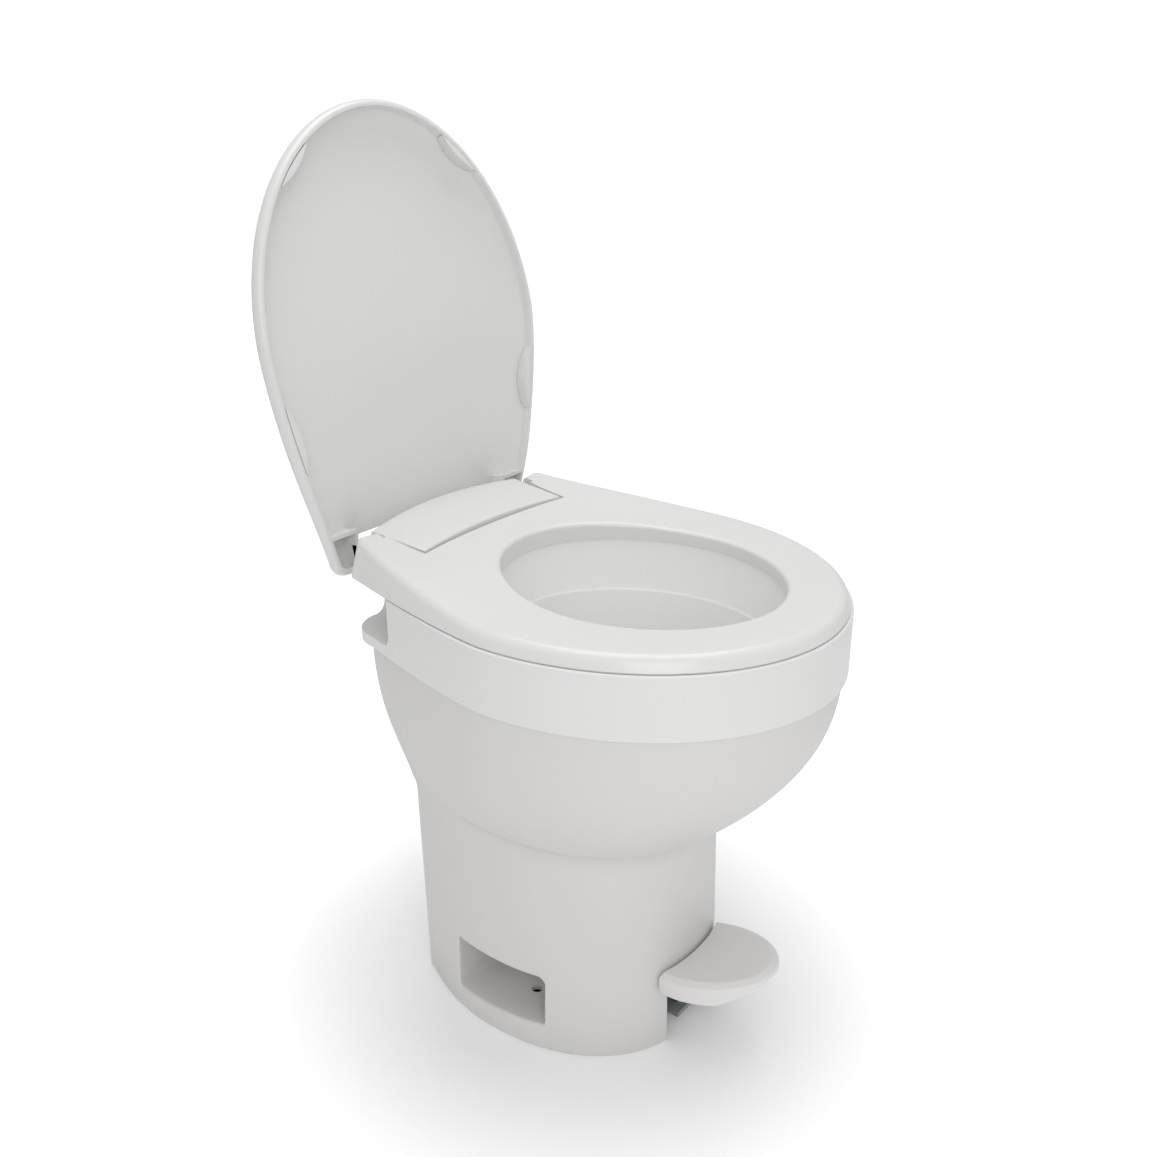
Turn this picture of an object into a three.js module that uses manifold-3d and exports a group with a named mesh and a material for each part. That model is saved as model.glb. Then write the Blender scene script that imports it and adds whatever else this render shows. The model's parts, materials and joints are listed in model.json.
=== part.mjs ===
// A floor-mounted RV toilet with a pedal flush: pedestal, rim, bowl, seat, lid, waste valve and water supply.
// Millimetres, +Z up, the front of the toilet towards -Y, the symmetry plane at X = 0.
// It is shown as it is stored in use: seat down, lid open and leaning back, pedal up, waste valve closed.

import * as THREE from 'three';
import Module from 'manifold-3d';
import { mergeVertices } from 'three/addons/utils/BufferGeometryUtils.js';

const wasm = await Module();
wasm.setup();

// Driving dimensions of the whole toilet
const SEAT_HEIGHT = 457;
const SEAT_WIDTH = 369;
const SEAT_FRONT_REACH = 214;
const SEAT_CENTRE_Y = 21;
const SEAT_REAR_Y = 216;
const SEAT_REAR_WIDTH_SHARE = 0.7805;
const SEAT_CORNER = 12;
const SEAT_THICKNESS = 13;
const SEAT_RISE = 19.2;
const SEAT_RISE_START_Y = 30;
const SEAT_REAR_LIFT = 5.1;
const SEAT_LIFT_START_Y = 150;
const SEAT_SIDE_DRAFT_SHARE = 0.42;
const SEAT_EDGE_ROUND = 6;
const SEAT_WALL = 3.5;
const SEAT_RING_WIDTH = 70.5;
const HOLE_FRONT_REACH = 128;
const HOLE_REAR_REACH = 137;
const HOLE_CENTRE_Y = -11;
const HOLE_EDGE_ROUND = 4;
const BAND_HEIGHT = 57;
const BAND_OUTSET = 2.2;
const BAND_WALL = 3.5;
const BAND_LEDGE = 4;
const BAND_REAR_Y = 214;
const BAND_REAR_WIDTH_SHARE = 0.8114;
const BAND_CORNER = 34;
const SHELF_DROP = 46;
const SHELF_START_Y = 150;
const DECK_WIDTH = 200;
const BASE_WIDTH = 253;
const BASE_FRONT_REACH = 151;
const BASE_CENTRE_Y = 71.6;
const BASE_REAR_Y = 188;
const BASE_REAR_WIDTH = 194;
const NECK_REAR_WIDTH = 207;
const BASE_CORNER = 12;
const BODY_TOP_REAR_STEP = 7.5;
const BODY_TOP_SIDE_STEP = 5.7;
const NECK_HEIGHT = 214;
const NECK_TAPER_SHARE = 0.035;
const SHELL_WALL = 4;
const OUTLET_Y = 56;
const LID_INSET = 7;
const LID_OPEN_ANGLE = 101.5;
const LID_EDGE_DEPTH = 14;
const LID_CROWN = 12;
const LID_WALL = 3.5;
const LID_LIP_WIDTH = 6.5;
const LID_SEAT_GAP = 1.5;
const LID_OVERHANG = 13.5;
const LID_REAR_INSET = 11.4;
const LID_CORNER = 15;
const HINGE_Y = 213;
const HINGE_DROP = 3;

// Fits, overrun and faceting shared by every piece
const TOUCH_GAP = 0.3;
const RUNNING_GAP = 0.4;
const BEARING_GAP = 0.1;
const PANEL_GAP = 2.5;
const OVERRUN = 20;
const ROUND_SEGMENTS = 24;
const TURNED_SEGMENTS = 32;
const ROUND_SHARE = 0.3;
const WELD_DISTANCE = 1e-4;

// Pedal, gears and waste valve
const PEDAL_TRAVEL = 18;
const PEDAL_PIVOT_Y = -30;
const PEDAL_PIVOT_Z = 66;
const PEDAL_REST_ANGLE = 11;
const PEDAL_TOP_Z = 77;
const PEDAL_HALF_WIDTH = 54;
const PEDAL_CENTRE_Y = -94;
const PEDAL_REACH = 72;
const PEDAL_SKIRT = 21.5;
const PEDAL_CHAMFER = 6;
const PEDAL_CHAMFER_DROP = 3.5;
const PEDAL_FLAT_SHARE = 0.48;
const PEDAL_TIP_DEPTH = 4;
const PEDAL_WALL_GAP = 1.5;
const PEDAL_SHAFT_RADIUS = 5;
const PEDAL_HUB_RADIUS = 10.5;
const PEDAL_HUB_WIDTH = 50;
const PEDAL_ARM_WIDTH = 34;
const PEDAL_ARM_DEPTH = 10;
const SLOT_WIDTH = 78;
const SLOT_HEIGHT = 70;
const GEAR_MODULE = 2.5;
const SECTOR_TEETH = 88;
const PINION_TEETH = 18;
const GEAR_WIDTH = 6;
const GEAR_PLANE_X = 67;
const GEAR_BACKLASH = 0.35;
const SECTOR_RIM = 9;
const SECTOR_START_ANGLE = 24;
const SECTOR_END_ANGLE = 58;
const BALL_RADIUS = 50;
const BALL_WALL = 4;
const BALL_STRIP = 38;
const BALL_SHAFT_RADIUS = 7;
const CHAMBER_RADIUS = 54;
const CHAMBER_WALL = 4;
const CHAMBER_HEIGHT = 104;
const OUTLET_RADIUS = 39;
const OUTLET_WALL = 4;
const OUTLET_CONE = 20;
const THROAT_RADIUS = 34;
const SEAL_THICKNESS = 7;
const FLANGE_RADIUS = 66;
const FLANGE_THICKNESS = 5;
const FLOOR_SEAL_THICKNESS = 9;
const CAM_RADIUS = 14;
const CAM_THROW = 5;
const CAM_WIDTH = 6;
const PLUNGER_LAG_GAP = 1.2;
const SPRING_Y = -62;
const SPRING_RADIUS = 6;
const SPRING_WIRE = 1.1;
const SPRING_COILS = 6;
const SPRING_TRAY_WIDTH = 30;
const SPRING_TRAY_REACH = 9;

const GEAR_CENTRES = GEAR_MODULE * (SECTOR_TEETH + PINION_TEETH) / 2;
const BALL_Z = PEDAL_PIVOT_Z + Math.sqrt(GEAR_CENTRES ** 2 - (OUTLET_Y - PEDAL_PIVOT_Y) ** 2);
const MESH_ANGLE = Math.atan2(BALL_Z - PEDAL_PIVOT_Z, OUTLET_Y - PEDAL_PIVOT_Y);
const SEAT_REAR_WIDTH = SEAT_WIDTH * SEAT_REAR_WIDTH_SHARE;
const SEAT_TOP_REAR = SEAT_HEIGHT + SEAT_RISE + SEAT_REAR_LIFT;
const SEAT_BOTTOM = SEAT_HEIGHT - SEAT_THICKNESS;
const HINGE_Z = SEAT_HEIGHT - HINGE_DROP;
const HOLE_WIDTH = SEAT_WIDTH - 2 * SEAT_RING_WIDTH;
const LID_REAR_Y = SEAT_REAR_Y + LID_OVERHANG;
const RIM_TOP = SEAT_BOTTOM - 2 * TOUCH_GAP;
const BAND_BOTTOM = RIM_TOP - BAND_HEIGHT;
const SHELF_Z = RIM_TOP - SHELF_DROP;
const DEG = Math.PI / 180;

const COLOURS = {
  shell: 0xe3e2df, seat: 0xe8e7e4, cover: 0xe6e5e2, bowl: 0xe5e4df, valve: 0x55585b,
  rubber: 0x2b2c2e, steel: 0xb9bcc0, gear: 0xd8d4c8, hose: 0xcfd2d4, pad: 0xdcdbd7, brass: 0xb08d4f,
};

const toilet = new THREE.Group();
const assembly = new THREE.Group();
toilet.add(assembly);

function plastic(colour, roughness = 0.35) {
  return new THREE.MeshStandardMaterial({ color: colour, roughness, metalness: 0 });
}

function metal(colour) {
  return new THREE.MeshStandardMaterial({ color: colour, roughness: 0.3, metalness: 1 });
}

function addPiece(name, geometry, material, parent = assembly) {
  const mesh = new THREE.Mesh(geometry, material);
  mesh.name = name;
  parent.add(mesh);
  return mesh;
}

// Solids: closed triangle meshes that manifold-3d joins and cuts

function toSolid(geometry) {
  const plain = geometry.index ? geometry.toNonIndexed() : geometry.clone();
  for (const name of Object.keys(plain.attributes)) {
    if (name !== 'position') plain.deleteAttribute(name);
  }
  const merged = mergeVertices(plain, WELD_DISTANCE);
  return new wasm.Manifold(new wasm.Mesh({
    numProp: 3,
    vertProperties: new Float32Array(merged.attributes.position.array),
    triVerts: new Uint32Array(merged.index.array),
  }));
}

function toGeometry(solid) {
  const mesh = solid.getMesh();
  const geometry = new THREE.BufferGeometry();
  geometry.setAttribute('position', new THREE.BufferAttribute(new Float32Array(mesh.vertProperties), 3));
  geometry.setIndex(new THREE.BufferAttribute(new Uint32Array(mesh.triVerts), 1));
  return geometry;
}

function union(...solids) {
  return solids.reduce((whole, solid) => whole.add(solid));
}

function cut(solid, ...tools) {
  return tools.reduce((rest, tool) => rest.subtract(tool), solid);
}

function box(x0, x1, y0, y1, z0, z1) {
  const geometry = new THREE.BoxGeometry(x1 - x0, y1 - y0, z1 - z0);
  geometry.translate((x0 + x1) / 2, (y0 + y1) / 2, (z0 + z1) / 2);
  return toSolid(geometry);
}

// A cylinder along X between x0 and x1
function rod(x0, x1, y, z, radius, segments = ROUND_SEGMENTS) {
  const geometry = new THREE.CylinderGeometry(radius, radius, x1 - x0, segments);
  geometry.rotateZ(Math.PI / 2);
  geometry.translate((x0 + x1) / 2, y, z);
  return toSolid(geometry);
}

// A cylinder along Z between z0 and z1
function post(x, y, z0, z1, radius, segments = ROUND_SEGMENTS) {
  const geometry = new THREE.CylinderGeometry(radius, radius, z1 - z0, segments);
  geometry.rotateX(Math.PI / 2);
  geometry.translate(x, y, (z0 + z1) / 2);
  return toSolid(geometry);
}

// A cylinder along Y between y0 and y1
function barrel(x, y0, y1, z, radius, segments = ROUND_SEGMENTS) {
  const geometry = new THREE.CylinderGeometry(radius, radius, y1 - y0, segments);
  geometry.translate(x, (y0 + y1) / 2, z);
  return toSolid(geometry);
}

// A body turned about the vertical axis at (x, y), from closed [radius, z] profile points
function turned(profile, x, y, segments = TURNED_SEGMENTS) {
  const points = profile.map(([radius, z]) => new THREE.Vector2(radius, z));
  const onAxis = profile[0][0] === 0;
  if (!onAxis) points.push(points[0].clone());
  const geometry = new THREE.LatheGeometry(points, segments);
  geometry.rotateX(Math.PI / 2);
  geometry.translate(x, y, 0);
  return orientedSolid(geometry);
}

function orientedSolid(geometry) {
  const solid = toSolid(geometry);
  if (solid.volume() > 0) return solid;
  const flipped = geometry.index ? geometry.toNonIndexed() : geometry.clone();
  const position = flipped.attributes.position;
  for (let i = 0; i < position.count; i += 3) {
    const a = new THREE.Vector3().fromBufferAttribute(position, i);
    const b = new THREE.Vector3().fromBufferAttribute(position, i + 1);
    position.setXYZ(i, b.x, b.y, b.z);
    position.setXYZ(i + 1, a.x, a.y, a.z);
  }
  return toSolid(flipped);
}

// A closed body through rings of equal point count, with a flat or pointed cap at each end
function loft(rings) {
  const count = rings[0].length;
  const vertices = rings.flat().flatMap((point) => [point.x, point.y, point.z]);
  const indices = [];
  for (let level = 0; level + 1 < rings.length; level++) {
    for (let i = 0; i < count; i++) {
      const a = level * count + i;
      const b = level * count + (i + 1) % count;
      indices.push(a, b, b + count, a, b + count, a + count);
    }
  }
  for (const [level, flip] of [[0, true], [rings.length - 1, false]]) {
    const middle = new THREE.Vector3();
    rings[level].forEach((point) => middle.add(point));
    middle.divideScalar(count);
    const tip = vertices.length / 3;
    vertices.push(middle.x, middle.y, middle.z);
    for (let i = 0; i < count; i++) {
      const a = level * count + i;
      const b = level * count + (i + 1) % count;
      if (flip) indices.push(b, a, tip);
      else indices.push(a, b, tip);
    }
  }
  const geometry = new THREE.BufferGeometry();
  geometry.setAttribute('position', new THREE.Float32BufferAttribute(vertices, 3));
  geometry.setIndex(indices);
  return orientedSolid(geometry);
}

// Plan outlines

const FRONT_STEPS = 11;
const SIDE_STEPS = 6;
const REAR_CORNER_STEPS = 3;
const OVAL_STEPS = 40;
const SMALLEST_CORNER = 1;

// Front half a superellipse, then sides that draw in to rounded rear corners
function planRing(plan, height, inset = 0) {
  const halfWidth = plan.halfWidth - inset;
  const frontReach = plan.frontReach - inset;
  const rearY = plan.rearY - inset;
  const rearHalf = plan.rearHalfWidth - inset;
  const corner = Math.max(plan.corner - inset, SMALLEST_CORNER);
  const half = [];
  for (let i = 0; i <= FRONT_STEPS; i++) {
    const angle = i / FRONT_STEPS * Math.PI / 2;
    half.push([
      halfWidth * Math.sin(angle) ** (2 / plan.power),
      plan.centreY - frontReach * Math.cos(angle) ** (2 / plan.power),
    ]);
  }
  const sideEnd = rearY - corner;
  for (let i = 1; i <= SIDE_STEPS; i++) {
    const share = i / SIDE_STEPS;
    half.push([
      halfWidth - (halfWidth - rearHalf) * share ** plan.sidePower,
      plan.centreY + (sideEnd - plan.centreY) * share,
    ]);
  }
  for (let i = 1; i <= REAR_CORNER_STEPS; i++) {
    const angle = i / REAR_CORNER_STEPS * Math.PI / 2;
    half.push([rearHalf - corner + corner * Math.cos(angle), sideEnd + corner * Math.sin(angle)]);
  }
  half.push([(rearHalf - corner) / 2, rearY]);
  half.push([0, rearY]);
  const mirrored = half.slice(1, -1).reverse().map(([x, y]) => [-x, y]);
  const heightOf = typeof height === 'function' ? height : () => height;
  return [...half, ...mirrored].map(([x, y]) => new THREE.Vector3(x, y, heightOf(x, y)));
}

// A closed oval with its own front and rear reach
function ovalRing(oval, height, inset = 0, count = OVAL_STEPS) {
  const heightOf = typeof height === 'function' ? height : () => height;
  return Array.from({ length: count }, (_, i) => {
    const angle = i / count * 2 * Math.PI;
    const reach = (Math.sin(angle) < 0 ? oval.front : oval.rear) - inset;
    const x = Math.sign(Math.cos(angle)) * Math.abs(Math.cos(angle)) ** (2 / oval.power);
    const y = Math.sign(Math.sin(angle)) * Math.abs(Math.sin(angle)) ** (2 / oval.power);
    const px = (oval.halfWidth - inset) * x;
    const py = oval.centreY + reach * y;
    return new THREE.Vector3(px, py, heightOf(px, py));
  });
}

function mixPlans(from, to, share, rearShare = share) {
  const rearKeys = ['rearY', 'rearHalfWidth', 'corner'];
  const mixed = {};
  for (const key of Object.keys(from)) {
    const part = rearKeys.includes(key) ? rearShare : share;
    mixed[key] = from[key] + (to[key] - from[key]) * part;
  }
  return mixed;
}

const seatPlan = {
  halfWidth: SEAT_WIDTH / 2, frontReach: SEAT_FRONT_REACH, centreY: SEAT_CENTRE_Y, power: 1.97,
  rearY: SEAT_REAR_Y, rearHalfWidth: SEAT_REAR_WIDTH / 2, corner: SEAT_CORNER, sidePower: 1.35,
};
const bandPlan = {
  ...seatPlan, halfWidth: seatPlan.halfWidth + BAND_OUTSET, frontReach: seatPlan.frontReach + BAND_OUTSET,
  rearY: BAND_REAR_Y, rearHalfWidth: SEAT_WIDTH * BAND_REAR_WIDTH_SHARE / 2, corner: BAND_CORNER,
};
const basePlan = {
  halfWidth: BASE_WIDTH / 2, frontReach: BASE_FRONT_REACH, centreY: BASE_CENTRE_Y, power: 2.23,
  rearY: BASE_REAR_Y, rearHalfWidth: BASE_REAR_WIDTH / 2, corner: BASE_CORNER, sidePower: 2,
};
const lidPlan = {
  ...seatPlan, halfWidth: seatPlan.halfWidth - LID_INSET, frontReach: seatPlan.frontReach - LID_INSET,
  rearY: LID_REAR_Y, rearHalfWidth: seatPlan.rearHalfWidth - LID_REAR_INSET, corner: LID_CORNER,
  sidePower: 1.6,
};
const holeOval = {
  halfWidth: HOLE_WIDTH / 2, front: HOLE_FRONT_REACH, rear: HOLE_REAR_REACH, centreY: HOLE_CENTRE_Y,
  power: 1.94,
};

// Height of the seat's top: level in front, rising to the rear and more so at the sides
const SEAT_RISE_POWER = 1.1;
const SEAT_MIDDLE_RISE_SHARE = 0.6;
const SEAT_CORNER_DRAFT_SHARE = 0.7;

function seatEdgeRise(y) {
  const back = Math.min(y, SEAT_REAR_Y);
  const run = Math.max(0, back - SEAT_RISE_START_Y) / (SEAT_REAR_Y - SEAT_RISE_START_Y);
  const lift = Math.max(0, back - SEAT_LIFT_START_Y) / (SEAT_REAR_Y - SEAT_LIFT_START_Y);
  return SEAT_RISE * run ** SEAT_RISE_POWER + SEAT_REAR_LIFT * lift ** 2;
}

function seatTop(x, y) {
  const across = Math.min(1, Math.abs(x) / (SEAT_REAR_WIDTH / 2)) ** 2;
  return SEAT_HEIGHT + seatEdgeRise(y) * (SEAT_MIDDLE_RISE_SHARE + (1 - SEAT_MIDDLE_RISE_SHARE) * across);
}

// The seat's outline drawn in with height, because its side leans inwards
function seatRing(height, inset) {
  const reach = SEAT_TOP_REAR - SEAT_BOTTOM;
  const heightOf = typeof height === 'function' ? height : () => height;
  const outer = planRing(seatPlan, heightOf, inset);
  const draft = SEAT_SIDE_DRAFT_SHARE * reach;
  const drawnPlan = {
    ...seatPlan, rearY: seatPlan.rearY + draft, corner: seatPlan.corner + draft * SEAT_CORNER_DRAFT_SHARE,
  };
  const drawn = planRing(drawnPlan, heightOf, inset + draft);
  return outer.map((point, i) => {
    const share = Math.max(0, Math.min(1, (point.z - SEAT_BOTTOM) / reach));
    const moved = point.clone().lerp(drawn[i], share);
    return moved.setZ(heightOf(moved.x, moved.y));
  });
}

// Pedestal shell

function taperedBase(z) {
  const share = Math.max(0, z) / NECK_HEIGHT;
  const scale = 1 - NECK_TAPER_SHARE * share;
  return {
    ...basePlan, halfWidth: basePlan.halfWidth * scale, frontReach: basePlan.frontReach * scale,
    rearHalfWidth: (BASE_REAR_WIDTH + (NECK_REAR_WIDTH - BASE_REAR_WIDTH) * share) / 2,
  };
}

const NECK_BLEND_SHARES = [-1, -0.5, 0, 0.5, 1];
const BULGE_SHARES = [0.17, 0.26, 0.38, 0.52, 0.68, 0.84, 1];
const NECK_BLEND = 16;
const BULGE_FRONT_POWER = 2.1;
const BULGE_REAR_POWERS = [2.2, 1.6];
const TOP_OVERLAP = 6;

function rearBulge(share) {
  return (1 - (1 - share) ** BULGE_REAR_POWERS[0]) ** BULGE_REAR_POWERS[1];
}

// Rings from the floor up the base, over the crease and out round the bowl
function pedestalRings(inset, bottom, top) {
  const neckPlan = taperedBase(NECK_HEIGHT);
  const bulgeTop = {
    ...bandPlan, halfWidth: bandPlan.halfWidth - 2 * BAND_OUTSET,
    frontReach: bandPlan.frontReach - 2 * BAND_OUTSET,
    rearHalfWidth: bandPlan.rearHalfWidth - BODY_TOP_SIDE_STEP,
    rearY: BAND_REAR_Y - BODY_TOP_REAR_STEP, sidePower: 1.6,
  };
  const rings = [bottom, NECK_HEIGHT / 2].map((z) => planRing(taperedBase(z), z, inset));
  const blendShare = NECK_BLEND / (BAND_BOTTOM - NECK_HEIGHT);
  const bulge = (share) => 1 - (1 - share) ** BULGE_FRONT_POWER;
  for (const step of NECK_BLEND_SHARES) {
    const z = NECK_HEIGHT + NECK_BLEND * step;
    const frontShare = bulge(blendShare) * ((1 + step) / 2) ** 2;
    const rearShare = step > 0 ? rearBulge(blendShare * step) : 0;
    const plan = mixPlans(taperedBase(Math.min(z, NECK_HEIGHT)), bulgeTop, frontShare, rearShare);
    rings.push(planRing(plan, z, inset));
  }
  for (const share of BULGE_SHARES) {
    const z = NECK_HEIGHT + (BAND_BOTTOM - NECK_HEIGHT) * share;
    rings.push(planRing(mixPlans(neckPlan, bulgeTop, bulge(share), rearBulge(share)), z, inset));
  }
  rings.push(planRing(bulgeTop, top, inset));
  return rings;
}

const BULGE_TOP = BAND_BOTTOM + TOP_OVERLAP;
const POCKET_FRONT_Y = 13.5;
const POCKET_REAR_Y = 119.5;
const POCKET_FRONT_SILL_Z = 27;
const POCKET_REAR_SILL_Z = 22;
const POCKET_FLOOR_Z = 18;
const POCKET_TOP_Z = 80.5;
const POCKET_CORNER = 8;
const POCKET_INNER_X = 57;
const POCKET_WALL = 3;
const BOLT_SPACING = 152.4;
const BOLT_HOLE_RADIUS = 5.5;
const INLET_HOLE_RADIUS = 13;
const CORNER_STEPS = 4;

// The side pocket's outline seen from the side: its mouth has a sill, and its liner is grown by the wall
function pocketOutline(grow, frontZ, rearZ) {
  const points = [
    [POCKET_FRONT_Y - grow, frontZ - grow],
    [POCKET_REAR_Y + grow, rearZ - grow],
    [POCKET_REAR_Y + grow, POCKET_TOP_Z + grow],
  ];
  for (let i = 0; i <= CORNER_STEPS; i++) {
    const angle = (1 + i / CORNER_STEPS) * Math.PI / 2;
    points.push([
      POCKET_FRONT_Y + POCKET_CORNER + (POCKET_CORNER + grow) * Math.cos(angle),
      POCKET_TOP_Z - POCKET_CORNER + (POCKET_CORNER + grow) * Math.sin(angle),
    ]);
  }
  return points.map(([y, z]) => new THREE.Vector2(y, z));
}

function pocketBlock(side, grow, frontZ = POCKET_FLOOR_Z, rearZ = POCKET_FLOOR_Z) {
  const near = POCKET_INNER_X - grow;
  const far = BASE_WIDTH / 2 + OVERRUN;
  return plateAcrossX(pocketOutline(grow, frontZ, rearZ), far - near, side * (near + far) / 2, 0, 0);
}

function buildPedestal() {
  const core = loft(pedestalRings(0, 0, BULGE_TOP));
  const hollow = loft(pedestalRings(SHELL_WALL, -OVERRUN, BULGE_TOP + OVERRUN));
  let shell = cut(core, hollow);
  for (const side of [-1, 1]) {
    shell = shell.add(core.intersect(pocketBlock(side, POCKET_WALL)));
    shell = cut(shell, pocketBlock(side, 0, POCKET_FRONT_SILL_Z, POCKET_REAR_SILL_Z),
      pocketBlock(side, 0).intersect(hollow));
    shell = cut(shell, post(side * BOLT_SPACING / 2, OUTLET_Y, -OVERRUN, POCKET_FLOOR_Z + POCKET_WALL,
      BOLT_HOLE_RADIUS));
  }
  const slotFront = BASE_CENTRE_Y - BASE_FRONT_REACH - OVERRUN;
  shell = cut(shell, box(-SLOT_WIDTH / 2, SLOT_WIDTH / 2, slotFront, PEDAL_PIVOT_Y, -OVERRUN, SLOT_HEIGHT));
  const inletHole = barrel(-GEAR_PLANE_X, BASE_REAR_Y - OVERRUN, BASE_REAR_Y + OVERRUN, BALL_Z,
    INLET_HOLE_RADIUS);
  return cut(shell, inletHole);
}

addPiece('pedestal_shell', toGeometry(buildPedestal()), plastic(COLOURS.shell, 0.45));

// Rim band: the skirt round the bowl's top, its top face and the lower rear shelves

const RIM_OPENING_INSET = -6;
const BOWL_WALL = 3.5;

const BAND_EDGE_ROUND = 3;
const BAND_EDGE_SHARES = [[1, 1], [0.93, 0.2], [0, 0]];

function bandSides() {
  return loft(BAND_EDGE_SHARES.map(([depthShare, roundShare]) => (
    planRing(bandPlan, RIM_TOP - BAND_HEIGHT * depthShare, BAND_EDGE_ROUND * roundShare))));
}

function shelfCut(side, grow) {
  const near = DECK_WIDTH / 2 - grow;
  const far = SEAT_WIDTH / 2 + OVERRUN;
  const [x0, x1] = side < 0 ? [-far, -near] : [near, far];
  return box(x0, x1, SHELF_START_Y - grow, BAND_REAR_Y + OVERRUN, SHELF_Z - grow, RIM_TOP + OVERRUN);
}

function buildRimBand() {
  const outer = cut(bandSides(), shelfCut(-1, 0), shelfCut(1, 0));
  const ledgeZ = BULGE_TOP + TOUCH_GAP;
  const innerRings = [
    planRing(bandPlan, BAND_BOTTOM - OVERRUN, BAND_WALL),
    planRing(bandPlan, ledgeZ, BAND_WALL),
    planRing(bandPlan, ledgeZ, BAND_WALL + BAND_LEDGE),
    planRing(bandPlan, RIM_TOP - BAND_WALL, BAND_WALL + BAND_LEDGE),
  ];
  const inner = cut(loft(innerRings), shelfCut(-1, BAND_WALL), shelfCut(1, BAND_WALL));
  const opening = loft([
    ovalRing(holeOval, BAND_BOTTOM, RIM_OPENING_INSET),
    ovalRing(holeOval, RIM_TOP + OVERRUN, RIM_OPENING_INSET),
  ]);
  return cut(outer, inner, opening);
}

// The band sits round the pedestal's top edge, so the pedestal's own wall is cleared from it
const pedestalClearance = loft(pedestalRings(-TOUCH_GAP, 0, BULGE_TOP + TOUCH_GAP));
const rimBand = cut(buildRimBand(), pedestalClearance);
addPiece('rim_band', toGeometry(rimBand), plastic(COLOURS.shell, 0.3));

// Bowl liner: an upper wall, a narrow ledge, then a bowl that draws in to the throat

const BOWL_TOP_INSET = -2;
const LEDGE_DEPTH = 51;
const LEDGE_WIDTH = 3;
const NOZZLE_Y = 20;
const NOZZLE_DROP = 18.4;
const NOZZLE_Z = RIM_TOP - NOZZLE_DROP;
const NOZZLE_RADIUS = 6;
const THROAT_CLEARANCE = 4;
const THROAT_TOP = BALL_Z + BALL_RADIUS + THROAT_CLEARANCE;
const THROAT_FLARE = 2;
const throatReach = THROAT_RADIUS + THROAT_FLARE;
const throatOval = {
  halfWidth: throatReach, front: throatReach, rear: throatReach, centreY: OUTLET_Y, power: 2,
};
const BOWL_STEP = 1;
const BOWL_RINGS = 6;
const BOWL_POWER = 0.9;
const SEAL_CONTACT_ANGLE = 47;

const SEAL_BOTTOM = BALL_Z + BALL_RADIUS * Math.sin(SEAL_CONTACT_ANGLE * DEG);
const SEAL_TOP = SEAL_BOTTOM + SEAL_THICKNESS;
const BOWL_BOTTOM = SEAL_TOP + TOUCH_GAP;

function bowlRings(outset, bottom) {
  const top = outset > 0 ? RIM_TOP : RIM_TOP + OVERRUN;
  const ledgeZ = RIM_TOP - LEDGE_DEPTH;
  const ledgeInset = BOWL_TOP_INSET + BOWL_STEP;
  const rings = [
    ovalRing(holeOval, top, BOWL_TOP_INSET - outset),
    ovalRing(holeOval, ledgeZ - outset, ledgeInset - outset),
    ovalRing(holeOval, ledgeZ - outset - BOWL_STEP, ledgeInset + LEDGE_WIDTH - outset),
  ];
  const upper = { ...holeOval };
  for (const key of ['halfWidth', 'front', 'rear']) upper[key] -= ledgeInset + LEDGE_WIDTH;
  const lowerDepth = ledgeZ - BOWL_STEP - THROAT_TOP;
  for (let i = 1; i <= BOWL_RINGS; i++) {
    const angle = i / BOWL_RINGS * Math.PI / 2;
    const oval = mixPlans(throatOval, upper, Math.cos(angle) ** BOWL_POWER);
    rings.push(ovalRing(oval, ledgeZ - outset - BOWL_STEP - lowerDepth * Math.sin(angle), -outset));
  }
  rings.push(ovalRing(throatOval, bottom, -outset));
  return rings;
}

function buildBowl() {
  const outer = loft(bowlRings(BOWL_WALL, BOWL_BOTTOM));
  const inner = loft(bowlRings(0, BOWL_BOTTOM - OVERRUN));
  const flange = post(0, OUTLET_Y, BOWL_BOTTOM, BOWL_BOTTOM + FLANGE_THICKNESS, FLANGE_RADIUS,
    TURNED_SEGMENTS);
  const nozzleBore = rod(-HOLE_WIDTH, 0, NOZZLE_Y, NOZZLE_Z, NOZZLE_RADIUS + TOUCH_GAP);
  return cut(union(outer, flange), inner, nozzleBore);
}

addPiece('bowl_liner', toGeometry(buildBowl()), plastic(COLOURS.bowl, 0.25));

// Waste valve: housing, seal, half ball on its shaft

const CHAMBER_TOP = SEAL_TOP;
const CHAMBER_BOTTOM = CHAMBER_TOP - CHAMBER_HEIGHT;
const SEAL_LIP_DROP = 5;
const SEAL_LIP_WIDTH = 4;
const BOSS_LENGTH = 4;
const BOSS_RADIUS = 12;
const BRACKET_X = 35;
const BRACKET_WIDTH = 6;
const BRACKET_HEIGHT = 30;
const JOIN_OVERLAP = 1;

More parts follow.
